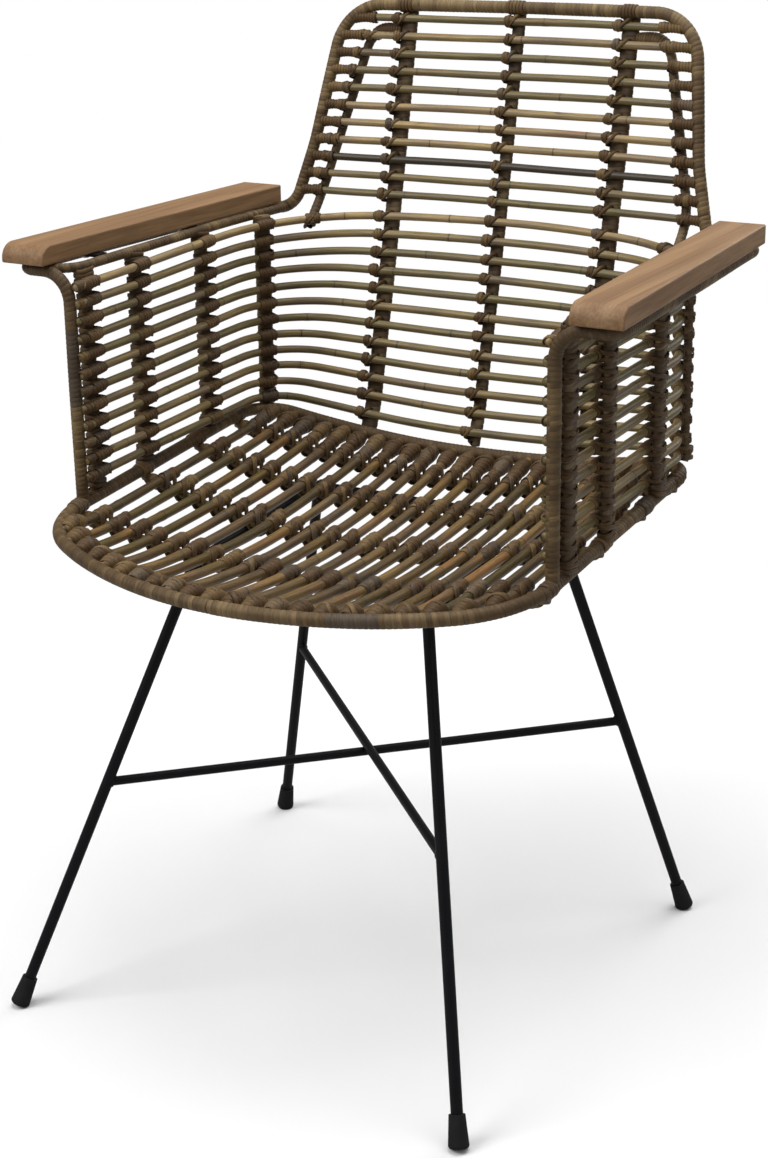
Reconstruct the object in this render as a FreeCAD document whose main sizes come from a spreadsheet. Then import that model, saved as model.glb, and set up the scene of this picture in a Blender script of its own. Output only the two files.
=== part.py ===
import FreeCAD, Part
import Sketcher
import math
import os

# Rattan tub armchair on a black steel rod base, millimetres, +Z up, facing -Y.
# The origin is on the floor, under the middle of the chair's bounding box.
# Reaches (towards the front) and setbacks (towards the back) are counted from
# the middle of the four feet, which lies origin_setback in front of the origin.

VECTOR = FreeCAD.Vector

# Name, value and meaning of every driving dimension.
SIZES = [
    ("origin_setback", 45.0, "from the middle of the feet back to the origin"),
    # Steel base
    ("leg_rod_dia", 10.0, "steel leg and seat frame rod"),
    ("foot_front_half_width", 223.0, "front foot centre to the middle plane"),
    ("foot_rear_half_width", 228.0, "rear foot centre to the middle plane"),
    ("foot_half_depth", 226.0, "front and rear foot centres to the middle of the feet"),
    ("frame_front_half_width", 115.0, "front leg top to the middle plane"),
    ("frame_rear_half_width", 124.0, "rear leg top to the middle plane"),
    ("frame_front_reach", 75.0, "front leg top in front of the middle of the feet"),
    ("frame_rear_setback", 145.0, "rear leg top behind the middle of the feet"),
    ("frame_bar_overhang", 7.0, "side bar end past the leg's centre"),
    ("brace_rod_dia", 8.0, "diagonal brace rod"),
    ("brace_height", 205.0, "where the two diagonal braces touch"),
    ("cap_length", 27.0, "rubber foot cap along its leg"),
    ("cap_top_dia", 13.6, "foot cap at its mouth"),
    ("cap_bottom_dia", 17.6, "foot cap at its widest"),
    ("cap_edge_radius", 3.0, "rounding of the foot cap's lower edge"),
    ("cap_sole", 6.0, "rubber under the end of the leg"),
    ("cap_flat", 1.2, "how much of the cap's lowest edge is cut flat on the floor"),
    ("tab_length", 15.0, "fixing tab, across the chair"),
    ("tab_width", 13.0, "fixing tab, front to back"),
    ("tab_thickness", 2.5, "fixing tab"),
    ("screw_dia", 3.2, "shank of every screw"),
    ("screw_head_dia", 7.0, "head of every screw"),
    ("screw_head_height", 2.2, "head of every screw"),
    ("screw_bite", 7.0, "how deep a screw goes into cane or wood"),
    ("fit_clearance", 0.2, "between a hole and what goes through it, or two seated faces"),
    # Seat
    ("rim_rod_dia", 12.0, "wrapped rod round the seat"),
    ("seat_half_width", 229.0, "rim centre line to the middle plane"),
    ("seat_front_reach", 218.0, "front of the rim centre line"),
    ("seat_rear_setback", 208.0, "rear of the rim centre line"),
    ("rim_rear_height", 451.4, "rim plane at the rear"),
    ("rim_front_drop", 31.9, "rim centre line at the front, under the rear"),
    ("rim_front_radius", 335.0, "shallow curve of the front edge"),
    ("rim_side_reach", 80.0, "where the straight side of the rim meets its front corner"),
    ("rim_rear_corner_radius", 40.0, "rear corners of the rim"),
    ("rim_rear_sag", 20.6, "drop of the rear rim's middle under the rim plane"),
    ("rim_sag_half_width", 180.0, "half of the stretch of the rear rim that sags"),
    ("rim_front_sag", 1.4, "drop of the seat under the rim plane at the front"),
    ("seat_dish", 34.7, "deepest drop of the slats under the rim plane"),
    ("slat_dia", 8.5, "seat slat"),
    ("slat_pitch", 19.5, "seat slat spacing"),
    ("crossbar_dia", 9.0, "cane crossbar under the slats"),
    ("nest_gap", 0.4, "between canes that are bound against each other"),
    # Back
    ("back_foot_drop", 26.4, "lower end of the line of the back canes under the rim's rear height"),
    ("back_foot_gap", 5.0, "lower end of the line of the back canes behind the rim's centre line"),
    ("back_knee_rise", 10.6, "lower bend of the back above the rim's rear height"),
    ("back_mid_rise", 178.0, "upper bend of the back above its lower bend"),
    ("back_top_rise", 168.0, "top rail of the hoop above the armrest's top"),
    ("back_knee_radius", 120.0, "lower bend of the back"),
    ("back_mid_radius", 700.0, "upper bend of the back"),
    ("back_bow_radius", 1390.0, "sideways bow of the back"),
    ("main_stake_half_width", 113.0, "main back stakes to the middle plane"),
    ("stake_dia", 8.5, "one of the two canes of a stake"),
    ("centre_stake_dia", 6.6, "one of the two canes of the centre stake"),
    ("side_stake_dia", 9.0, "single stake beside the hoop"),
    ("side_stake_foot_inset", 25.0, "lower end of a side stake inside the hoop's foot"),
    ("side_stake_top_inset", 26.5, "upper bend of a side stake inside the hoop's top corner"),
    ("side_stake_join_drop", 24.0, "where a side stake turns in to the main stake, under the top rail"),
    ("side_stake_bend_radius", 22.0, "upper bend of a side stake"),
    ("hoop_rod_dia", 11.5, "wrapped rod of the hoop and the arm loops"),
    ("hoop_foot_inset", 15.0, "hoop where it turns up from the arm, inside the seat rim's side"),
    ("hoop_waist_half_width", 197.5, "hoop half way up the back"),
    ("hoop_top_half_width", 178.5, "corner of the hoop's sides and top rail"),
    ("hoop_corner_radius", 47.0, "top corners of the hoop"),
    ("hoop_waist_radius", 180.0, "gentle bend half way up the hoop"),
    ("hoop_foot_radius", 24.0, "hoop where it turns up from the arm"),
    ("hoop_rail_setback", 4.0, "top rail behind the line of the back canes"),
    ("upper_cane_dia", 7.0, "straight canes of the upper back"),
    ("upper_cane_pitch", 16.0, "spacing of the straight canes"),
    ("upper_cane_first_rise", 18.0, "lowest straight cane above the highest wrap-round cane"),
    ("upper_cane_last_drop", 12.0, "highest straight cane under the top rail"),
    # Wrap-round canes
    ("wrap_cane_dia", 7.5, "canes that run round the arms and the back"),
    ("wrap_top_front_drop", 35.0, "highest wrap-round cane at the arm's front, under the armrest's top"),
    ("wrap_top_corner_drop", 29.0, "highest wrap-round cane at the rear corner, under the armrest's top"),
    ("wrap_top_back_drop", 22.0, "highest wrap-round cane at the back, under the armrest's top"),
    ("wrap_low_front_rise", 24.2, "lowest wrap-round cane at the arm's front, above the rim"),
    ("wrap_low_corner_rise", 10.1, "lowest wrap-round cane at the rear corner, above the rim"),
    ("wrap_low_back_rise", 15.2, "lowest wrap-round cane at the middle of the back, above the rim"),
    # Arms
    ("arm_stake_outset", 2.0, "arm stakes and inner arm rail outside the rim's side"),
    ("arm_front_reach", 80.0, "front upright of the arm loop"),
    ("corner_stake_inset", 9.5, "rear corner stakes inside the rim's side"),
    ("corner_stake_advance", 0.5, "rear corner stakes in front of the rim's rear"),
    ("arm_rail_dia", 9.0, "wrapped rail along the inner edge of the armrest"),
    ("arm_rail_bend_advance", 43.0, "where the inner rail turns in to the hoop, in front of the rim's rear"),
    ("arm_rail_rear_inset", 7.0, "rear end of the inner rail inside the rim's side"),
    ("arm_rail_front_run", 16.0, "front end of the inner rail, where it turns out to the loop"),
    ("loop_top_radius", 26.0, "top bend of the arm loop's front upright"),
    ("loop_corner_radius", 14.0, "flat corners of the arm loop and the hoop under the armrest"),
    ("loop_inset", 9.5, "arm loop centre line inside the armrest's outer edge"),
    ("loop_joint_advance", 58.0, "butt joint of the arm loop and the hoop, in front of the rim's rear"),
    ("board_thickness", 17.0, "armrest board"),
    ("armrest_rise", 207.6, "top of the armrest board above the rim's rear height"),
    ("board_front_overhang", 13.0, "front end of the armrest board past the arm loop"),
    ("board_rear_overhang", 45.5, "rear end of the armrest board behind the rim's rear"),
    ("board_inner_front_outset", 16.5, "inner edge of the board at its front, outside the rim's side"),
    ("board_outer_front_outset", 61.3, "outer edge of the board at its front, outside the rim's side"),
    ("board_inner_rear_inset", 3.5, "inner edge of the board at its rear, inside the rim's side"),
    ("board_outer_rear_outset", 39.9, "outer edge of the board at its rear, outside the rim's side"),
    ("board_nose_radius", 13.5, "rounded front end of the board"),
    ("board_edge_radius", 1.6, "long edges of the board"),
]

WRAP_CANE_COUNT = 12

# Lean of the back's three runs to the rear, from the lowest up, in degrees.
BACK_LEAN_ANGLES = (23.4, 13.6, 12.1)
# Place of the hoop's gentle bend, as a share of the way from the armrest up to the top rail.
HOOP_WAIST_SHARE = 0.335
# Places of the crossbars, as shares of the seat's depth from its front.
CROSSBAR_SHARES = (0.31, 0.54, 0.74, 0.90)
# The crossbars that the steel frame is screwed to.
FIXED_SHARES = CROSSBAR_SHARES[:2]
# Places of the arm stakes, as shares of the way from the front upright to the corner stake.
ARM_STAKE_SHARES = (0.083, 0.337, 0.696)
# Places of the armrest's fixing tabs, as shares of the board's length from its front.
BOARD_TAB_SHARES = (0.2, 0.6)
# How far a fixing tab laps over the side of a round rod, as a share of the rod's radius.
TAB_LAP_SHARE = 0.22
# Reach of the gentle bends in the inner arm rail, as a share of the shorter run.
RAIL_BEND_SHARE = 0.45

# Where the seam of a round section lies, in degrees round the rod: clear of where rods meet.
SEAM_ANGLE = 180
SEAT_SEAM_ANGLE = 90

SAMPLES_PER_WIRE = 600

document = FreeCAD.newDocument("rattan_armchair")
sheet = document.addObject("Spreadsheet::Sheet", "Sizes")
for row, (alias, value, meaning) in enumerate(SIZES, start=1):
    sheet.set(f"A{row}", meaning)
    sheet.set(f"B{row}", str(value))
    sheet.setAlias(f"B{row}", alias)
document.recompute()
size = {alias: float(sheet.get(alias)) for alias, value, meaning in SIZES}

SIDES = (("left", -1), ("right", 1))
sub_parts = []


def keep(label, things):
    """Hold finished objects as one sub-part and move it from the feet's frame to the origin's."""
    node = document.addObject("Part::Compound", label)
    node.Links = things
    node.Label = label
    node.setExpression("Placement.Base.y", "-Sizes.origin_setback")
    sub_parts.append(node)
    return node


# Paths of straight runs and tangent arcs

def turn_angle(before, vertex, after):
    return (vertex - before).getAngle(after - vertex)


def reach_of(radius, before, vertex, after):
    """Distance from a vertex to the ends of a tangent arc of this radius."""
    return radius * math.tan(turn_angle(before, vertex, after) / 2)


def towards(vertex, other):
    return (other - vertex).normalize()


def rounded_path(points, reaches, closed=False):
    """A wire along the points, with a tangent arc at each vertex that has a reach."""
    count = len(points)
    edges = []
    first_end = None
    last_end = None
    for index, vertex in enumerate(points):
        arc_start = vertex
        arc_end = vertex
        arc = None
        if index in reaches:
            before = towards(vertex, points[index - 1])
            after = towards(vertex, points[(index + 1) % count])
            arc_start = vertex + before * reaches[index]
            arc_end = vertex + after * reaches[index]
            half_turn = turn_angle(vertex + before, vertex, vertex + after) / 2
            radius = reaches[index] / math.tan(half_turn)
            inward = (before + after).normalize()
            arc_middle = vertex + inward * (radius / math.cos(half_turn) - radius)
            arc = Part.Arc(arc_start, arc_middle, arc_end).toShape()
        if index == 0:
            first_end = arc_start
        else:
            edges += run_between(last_end, arc_start)
        if arc:
            edges.append(arc)
        last_end = arc_end
    if closed:
        edges += run_between(last_end, first_end)
    return Part.Wire(edges)


def run_between(start, end):
    """A straight edge, or nothing where two arcs meet."""
    if (end - start).Length * SAMPLES_PER_WIRE < size["nest_gap"]:
        return []
    return [Part.LineSegment(start, end).toShape()]


def straight(start, end):
    return Part.Wire(run_between(start, end))


def arc_through(start, middle, end):
    return Part.Wire([Part.Arc(start, middle, end).toShape()])


def mirrored(point):
    return VECTOR(-point.x, point.y, point.z)


def rod(name, wire, diameter, seam_angle=SEAM_ANGLE):
    """A round rod swept along a wire, its radius bound to a named size."""
    first = wire.OrderedEdges[0]
    backwards = first.Orientation == "Reversed"
    parameter = first.LastParameter if backwards else first.FirstParameter
    path = document.addObject("Part::Feature", name + "_path")
    path.Shape = wire
    section = document.addObject("Part::Circle", name + "_section")
    section.setExpression("Radius", f"Sizes.{diameter} / 2")
    square_on = FreeCAD.Rotation(VECTOR(0, 0, 1), first.tangentAt(parameter))
    seam_turn = FreeCAD.Rotation(VECTOR(0, 0, 1), seam_angle)
    section.Placement = FreeCAD.Placement(first.valueAt(parameter), square_on * seam_turn)
    sweep = document.addObject("Part::Sweep", name + "_rod")
    sweep.Sections = [section]
    sweep.Spine = (path, [f"Edge{number}" for number in range(1, len(wire.Edges) + 1)])
    sweep.Solid = True
    sweep.Frenet = False
    return sweep


def group(name, things):
    cluster = document.addObject("Part::Compound", name + "_group")
    cluster.Links = things
    return cluster


def cut(name, base, tool):
    trimmed = document.addObject("Part::Cut", name + "_trimmed")
    trimmed.Base = base
    trimmed.Tool = tool
    return trimmed


def crossings(wire, axis, value):
    """The points where one coordinate of a wire takes a value."""
    found = []
    points = wire.discretize(SAMPLES_PER_WIRE)
    for one, two in zip(points, points[1:]):
        low, high = sorted((one[axis], two[axis]))
        if low <= value < high:
            share = (value - one[axis]) / (two[axis] - one[axis])
            found.append(one + (two - one) * share)
    return found


def right_point(wire, height):
    """The point of a wire at a height, on the right of the middle plane."""
    return max(crossings(wire, 2, height), key=lambda point: point.x)


# Main heights

def rim_front_height():
    return size["rim_rear_height"] - size["rim_front_drop"]


def armrest_top():
    return size["rim_rear_height"] + size["armrest_rise"]


def back_top_height():
    return armrest_top() + size["back_top_rise"]


# Seat shape

def rim_plane(y):
    """Height of the plane through the rim's front, sides and rear corners."""
    run = size["seat_rear_setback"] + size["seat_front_reach"]
    rise = size["rim_front_drop"]
    return rim_front_height() + rise * (y + size["seat_front_reach"]) / run


def dish_half_width():
    return size["seat_half_width"] - size["rim_rod_dia"] / 2


def dish_depth(y):
    """Drop of the seat's middle under the rim plane, a parabola from front to rear."""
    front_drop = size["seat_dish"] - size["rim_front_sag"]
    rear_drop = size["seat_dish"] - size["rim_rear_sag"]
    lean = math.sqrt(front_drop / rear_drop)
    low_point = (lean * size["seat_rear_setback"] - size["seat_front_reach"]) / (1 + lean)
    rear_run = size["seat_rear_setback"] - low_point
    return size["seat_dish"] - rear_drop * ((y - low_point) / rear_run) ** 2


def seat_height(x, y):
    """Height of the slats' centre lines."""
    return rim_plane(y) - dish_depth(y) * (1 - (x / dish_half_width()) ** 2)


def crossbar_setback(share):
    return share * (size["seat_rear_setback"] + size["seat_front_reach"]) - size["seat_front_reach"]


def crossbar_height(x, y):
    """Height of the crossbars' centre lines, under the slats."""
    return seat_height(x, y) - (size["slat_dia"] + size["crossbar_dia"]) / 2 - size["nest_gap"]


def rim_wire():
    """Closed centre line of the rim: two-radius front, straight sides, sagging rear."""
    wide = size["seat_half_width"]
    front = -size["seat_front_reach"]
    rear = size["seat_rear_setback"]
    shallow = size["rim_front_radius"]
    side_centre = -size["rim_side_reach"]
    big_centre = front + shallow
    span = big_centre - side_centre
    corner_radius = (shallow ** 2 - wide ** 2 - span ** 2) / (2 * (shallow - wide))
    across = (wide - corner_radius) / (shallow - corner_radius)
    along = span / (shallow - corner_radius)
    front_vertex = (shallow - shallow * along) / across
    side_vertex = big_centre - (shallow - wide * across) / along
    sag_run = size["rim_sag_half_width"]
    slope = 2 * size["rim_rear_sag"] * sag_run / dish_half_width() ** 2
    low_vertex = rim_plane(rear) - size["rim_rear_sag"] - slope * sag_run / 2
    right = [
        VECTOR(front_vertex, front, rim_plane(front)),
        VECTOR(wide, side_vertex, rim_plane(side_vertex)),
        VECTOR(wide, rear, low_vertex + slope * wide),
    ]
    points = right + [VECTOR(0, rear, low_vertex)] + [mirrored(point) for point in reversed(right)]
    side_reach = (points[1] - points[0]).Length - front_vertex
    rear_reach = reach_of(size["rim_rear_corner_radius"], points[1], points[2], points[3])
    reaches = {
        0: front_vertex,
        1: side_reach,
        2: rear_reach,
        3: math.hypot(sag_run, slope * sag_run),
        4: rear_reach,
        5: side_reach,
        6: front_vertex,
    }
    return rounded_path(points, reaches, closed=True)


def make_rim():
    rim = rod("seat_rim", rim_path, "rim_rod_dia", SEAT_SEAM_ANGLE)
    keep("seat_rim", [rim])
    return rim


def make_slats():
    """Cane slats from the front to the rear of the rim, coped against it."""
    pitch = size["slat_pitch"]
    room = dish_half_width() - size["slat_dia"] / 2
    half_count = int(room / pitch + 0.5)
    rods = []
    for number in range(-half_count, half_count):
        x = (number + 0.5) * pitch
        ends = crossings(rim_path, 0, x)
        front = min(point.y for point in ends)
        rear = max(point.y for point in ends)
        middle = (front + rear) / 2
        path = arc_through(*[VECTOR(x, y, seat_height(x, y)) for y in (front, middle, rear)])
        rods.append(rod(f"slat_{number + half_count + 1}", path, "slat_dia", SEAT_SEAM_ANGLE))
    keep("seat_slats", [cut("slats", group("slats", rods), rim)])


def make_crossbars():
    """Four sagging canes under the slats, bored for the frame's screws."""
    wide = size["seat_half_width"]
    for number, share in enumerate(CROSSBAR_SHARES, start=1):
        y = crossbar_setback(share)
        path = arc_through(*[VECTOR(x, y, crossbar_height(x, y)) for x in (-wide, 0, wide)])
        bar = cut(f"crossbar_{number}", rod(f"crossbar_{number}", path, "crossbar_dia"), rim)
        if number <= len(FIXED_SHARES):
            bores = [
                screw_bore(f"crossbar_{number}_{side}", frame_screw_place(sign, y))
                for side, sign in SIDES
            ]
            bar = cut(f"bored_crossbar_{number}", bar, group(f"crossbar_{number}_bores", bores))
        keep(f"seat_crossbar_{number}", [bar])


# Steel base


def frame_half_width(y):
    """The side bars spread a little towards the rear."""
    run = size["frame_rear_setback"] + size["frame_front_reach"]
    spread = size["frame_rear_half_width"] - size["frame_front_half_width"]
    return size["frame_front_half_width"] + spread * (y + size["frame_front_reach"]) / run


def bar_height(y):
    """The side bars bear against the first two crossbars."""
    stack = (size["crossbar_dia"] + size["leg_rod_dia"]) / 2 + size["fit_clearance"]
    first, second = [crossbar_setback(share) for share in FIXED_SHARES]
    low, high = [crossbar_height(frame_half_width(place), place) - stack for place in (first, second)]
    return low + (high - low) * (y - first) / (second - first)


def bar_point(sign, y):
    return VECTOR(sign * frame_half_width(y), y, bar_height(y))


def make_base():
    """Seat frame of four bars, four splayed legs with rubber caps, and two crossed braces."""
    front = -size["frame_front_reach"]
    rear = size["frame_rear_setback"]
    overhang = size["frame_bar_overhang"]
    bars = {}
    for side, sign in SIDES:
        ends = (bar_point(sign, front - overhang), bar_point(sign, rear + overhang))
        bars[side] = rod(f"frame_side_bar_{side}", straight(*ends), "leg_rod_dia")
        keep(f"frame_side_bar_{side}", [bars[side]])
    both_bars = group("side_bars", list(bars.values()))
    for end, y in (("front", front), ("rear", rear)):
        bar = rod(f"frame_{end}_bar", straight(bar_point(-1, y), bar_point(1, y)), "leg_rod_dia")
        bars[end] = cut(f"frame_{end}_bar", bar, both_bars)
        keep(f"frame_{end}_bar", [bars[end]])
    legs = {}
    corners = (
        ("front", front, -size["foot_half_depth"], size["foot_front_half_width"]),
        ("rear", rear, size["foot_half_depth"], size["foot_rear_half_width"]),
    )
    for end, top_y, foot_y, foot_half_width in corners:
        for side, sign in SIDES:
            top = bar_point(sign, top_y)
            floor = VECTOR(sign * foot_half_width, foot_y, 0)
            up = towards(floor, top)
            cap_end = floor + up * (cap_lift(up) / up.z)
            path = straight(cap_end + up * size["cap_sole"], top)
            name = f"{end}_{side}"
            leg = cut(f"leg_{name}", rod(f"leg_{name}", path, "leg_rod_dia"), bars[side])
            legs[name] = (floor, up, leg)
            keep(f"leg_{name}", [leg])
            keep(f"foot_cap_{name}", [foot_cap(f"foot_cap_{name}", cap_end, up)])
    make_braces(legs)
    make_frame_fixings(bars)


def cap_lift(up):
    """Height of the middle of a leaning cap's end over the floor that cuts its edge flat."""
    edge = size["cap_edge_radius"]
    lean = math.sqrt(1 - up.z ** 2)
    return (size["cap_bottom_dia"] / 2 - edge) * lean + edge * (1 - up.z) - size["cap_flat"]


def make_braces(legs):
    """Two straight rods from leg to leg, one over the other where they cross."""
    every_leg = group("legs", [leg for floor, up, leg in legs.values()])
    half_rod = size["brace_rod_dia"] / 2
    for name, one, other, shift in (
        ("brace_upper", "front_right", "rear_left", half_rod),
        ("brace_lower", "front_left", "rear_right", -half_rod),
    ):
        height = size["brace_height"] + shift
        ends = [legs[key][0] + legs[key][1] * (height / legs[key][1].z) for key in (one, other)]
        brace = rod(name, straight(*ends), "brace_rod_dia")
        keep(name, [cut(name, brace, every_leg)])



# Sketched and turned pieces

def origin_plane(body, role):
    return next(feature for feature in body.Origin.OriginFeatures if feature.Role == role)


def outline(body, name, plane, corners):
    """A closed outline whose corners are tied to the sheet, or to an axis where they are None."""
    sketch = body.newObject("Sketcher::SketchObject", name + "_outline")
    sketch.AttachmentSupport = (origin_plane(body, plane), [""])
    sketch.MapMode = "FlatFace"
    points = [VECTOR(x[0], y[0], 0) for x, y in corners]
    for start, end in zip(points, points[1:] + points[:1]):
        sketch.addGeometry(Part.LineSegment(start, end), False)
    count = len(points)
    for index in range(count):
        sketch.addConstraint(Sketcher.Constraint("Coincident", index, 2, (index + 1) % count, 1))
    for index, corner in enumerate(corners):
        for kind, axis, (value, formula) in zip(("DistanceX", "DistanceY"), (-2, -1), corner):
            if formula is None:
                sketch.addConstraint(Sketcher.Constraint("PointOnObject", index, 1, axis))
                continue
            number = sketch.addConstraint(Sketcher.Constraint(kind, -1, 1, index, 1, value))
            sketch.setExpression(f"Constraints[{number}]", formula)
    sketch.Visibility = False
    return sketch


def edges_where(feature, test):
    """The names of a feature's edges whose middles pass a test."""
    return [f"Edge{number}" for number, edge in enumerate(feature.Shape.Edges, start=1) if test(edge)]


def rounded(body, name, feature, radius, test):
    fillet = body.newObject("PartDesign::Fillet", name)
    fillet.Base = (feature, edges_where(feature, test))
    fillet.setExpression("Radius", f"Sizes.{radius}")
    document.recompute()
    return fillet


def foot_cap(name, cap_end, up):
    """A tapered rubber cap turned about the leg's axis, cut flat on the side away from its seam."""
    zero = (0, None)
    wide = (size["cap_bottom_dia"] / 2, "Sizes.cap_bottom_dia / 2")
    mouth = (size["cap_top_dia"] / 2, "Sizes.cap_top_dia / 2")
    bore = (size["leg_rod_dia"] / 2, "Sizes.leg_rod_dia / 2")
    tall = (size["cap_length"], "Sizes.cap_length")
    sole = (size["cap_sole"], "Sizes.cap_sole")
    corners = [(zero, zero), (wide, zero), (mouth, tall), (bore, tall), (bore, sole), (zero, sole)]
    body = document.addObject("PartDesign::Body", name + "_body")
    turned = body.newObject("PartDesign::Revolution", name + "_turned")
    turned.Profile = outline(body, name, "XZ_Plane", corners)
    turned.ReferenceAxis = (turned.Profile[0], ["V_Axis"])
    turned.Angle = 360
    document.recompute()
    rounded(body, name + "_edge", turned, "cap_edge_radius",
            lambda edge: edge.BoundBox.ZMax < size["cap_sole"] / 2 and edge.BoundBox.XLength > wide[0])
    seam_side = VECTOR(0, 0, 1) - up * up.z
    body.Placement = FreeCAD.Placement(cap_end, FreeCAD.Rotation(seam_side, VECTOR(), up, "ZXY"))
    floor = document.addObject("Part::Box", name + "_below_floor")
    for side in ("Length", "Width", "Height"):
        floor.setExpression(side, "Sizes.cap_length * 2")
    floor.Placement.Base = VECTOR(cap_end.x - tall[0], cap_end.y - tall[0], -2 * tall[0])
    return cut(name, body, floor)


def upright_cylinder(name, foot, diameter, length, allowance="0"):
    """A vertical cylinder bound to the sheet, standing on a point."""
    cylinder = document.addObject("Part::Cylinder", name)
    cylinder.setExpression("Radius", f"Sizes.{diameter} / 2 + {allowance}")
    cylinder.setExpression("Height", length)
    cylinder.Placement.Base = foot
    return cylinder


def screw_bore(name, seat):
    """The hole for a screw whose head bears against the seat point."""
    length = "Sizes.tab_thickness + Sizes.screw_bite + Sizes.fit_clearance * 2"
    return upright_cylinder(name + "_bore", seat, "screw_dia", length, "Sizes.fit_clearance")


def screw(name, seat):
    """A screw driven upwards, its head under the seat point."""
    under = seat - VECTOR(0, 0, size["screw_head_height"])
    head = upright_cylinder(name + "_head", under, "screw_head_dia", "Sizes.screw_head_height")
    length = "Sizes.tab_thickness + Sizes.screw_bite"
    shank = upright_cylinder(name + "_shank", seat, "screw_dia", length)
    whole = document.addObject("Part::Fuse", name)
    whole.Base = head
    whole.Tool = shank
    return whole


def tab(name, middle, length):
    """A flat steel tab centred on a point of its lower face, bored for a screw."""
    plate = document.addObject("Part::Box", name + "_plate")
    plate.Length = length
    plate.setExpression("Width", "Sizes.tab_width")
    plate.setExpression("Height", "Sizes.tab_thickness")
    plate.Placement.Base = middle - VECTOR(length / 2, size["tab_width"] / 2, 0)
    return cut(name, plate, screw_bore(name, middle))


def frame_screw_place(sign, y):
    """Where a frame screw's head bears, under the tab beside the side bar."""
    x = frame_half_width(y) - (size["leg_rod_dia"] + size["tab_length"]) / 2 + size["fit_clearance"]
    low_end = x - size["tab_length"] / 2
    under = (size["crossbar_dia"] / 2 + size["tab_thickness"]) + size["fit_clearance"]
    return VECTOR(sign * x, y, crossbar_height(low_end, y) - under)


def make_frame_fixings(bars):
    """Tabs welded to the seat frame, each with a screw up into a crossbar."""
    tabs = []
    screws = []
    for side, sign in SIDES:
        for number, share in enumerate(FIXED_SHARES, start=1):
            name = f"frame_tab_{side}_{number}"
            place = frame_screw_place(sign, crossbar_setback(share))
            seats = group(name + "_seats", [bars[side], bars["front"]])
            tabs.append(cut(name + "_seated", tab(name, place, size["tab_length"]), seats))
            screws.append(screw(f"frame_screw_{side}_{number}", place))
    keep("frame_tabs", tabs)
    keep("frame_screws", screws)


# Line of the back

def back_polygon():
    """The line of the back canes, from under the rear of the rim up to the top rail."""
    foot = size["rim_rear_height"] - size["back_foot_drop"]
    knee = size["rim_rear_height"] + size["back_knee_rise"]
    heights = (foot, knee, knee + size["back_mid_rise"], back_top_height())
    points = [VECTOR(0, size["seat_rear_setback"] + size["back_foot_gap"], foot)]
    for low, high, lean in zip(heights, heights[1:], BACK_LEAN_ANGLES):
        run = (high - low) * math.tan(math.radians(lean))
        points.append(points[-1] + VECTOR(0, run, high - low))
    return points


def back_path(x, shift, behind):
    """The line of the back in an upright plane, shifted back and then offset behind itself."""
    points = back_polygon()
    square = [VECTOR(0, 1, 0) * (two - one).z - VECTOR(0, 0, 1) * (two - one).y
              for one, two in zip(points, points[1:])]
    square = [direction.normalize() for direction in square]
    square = [square[0]] + square + [square[-1]]
    moved = []
    for point, one, two in zip(points, square, square[1:]):
        corner = (one + two).normalize()
        moved.append(point + corner * (behind / corner.dot(one)) + VECTOR(x, shift, 0))
    radii = {1: size["back_knee_radius"] + behind, 2: size["back_mid_radius"] + behind}
    reaches = {index: reach_of(radius, *moved[index - 1:index + 2]) for index, radius in radii.items()}
    return rounded_path(moved, reaches)


def cane_setback(height):
    """Centre line of the back canes at the middle of the back."""
    return crossings(back_line, 2, height)[0].y


def bow_depth():
    """How far the main stakes stand in front of the middle of the back."""
    return size["main_stake_half_width"] ** 2 / (2 * size["back_bow_radius"])


def bowed_vertex(middle_y, depth):
    return middle_y + depth


def bowed_setback(middle_y, depth, x):
    """The straight run outside the main stakes, tangent to the bow between them."""
    return middle_y + depth - 2 * depth * x / size["main_stake_half_width"]


def bow_reach(middle, outer):
    """Reach of the bow from the middle vertex, which ends at the main stakes."""
    return (outer - middle).Length * size["main_stake_half_width"] / abs(outer.x)


def hoop_foot_half_width():
    return size["seat_half_width"] - size["hoop_foot_inset"]


def loop_height():
    under_board = armrest_top() - size["board_thickness"]
    return under_board - size["fit_clearance"] - size["hoop_rod_dia"] / 2


def board_front_reach():
    return size["arm_front_reach"] + size["board_front_overhang"]


def board_length():
    return board_front_reach() + size["seat_rear_setback"] + size["board_rear_overhang"]


def loop_half_width(y):
    """Centre line of the rod under the outer edge of the armrest."""
    front = size["board_outer_front_outset"]
    rear = size["board_outer_rear_outset"]
    edge = front + (rear - front) * (y + board_front_reach()) / board_length()
    return size["seat_half_width"] + edge - size["loop_inset"]


def loop_joint_setback():
    return size["seat_rear_setback"] - size["loop_joint_advance"]


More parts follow.
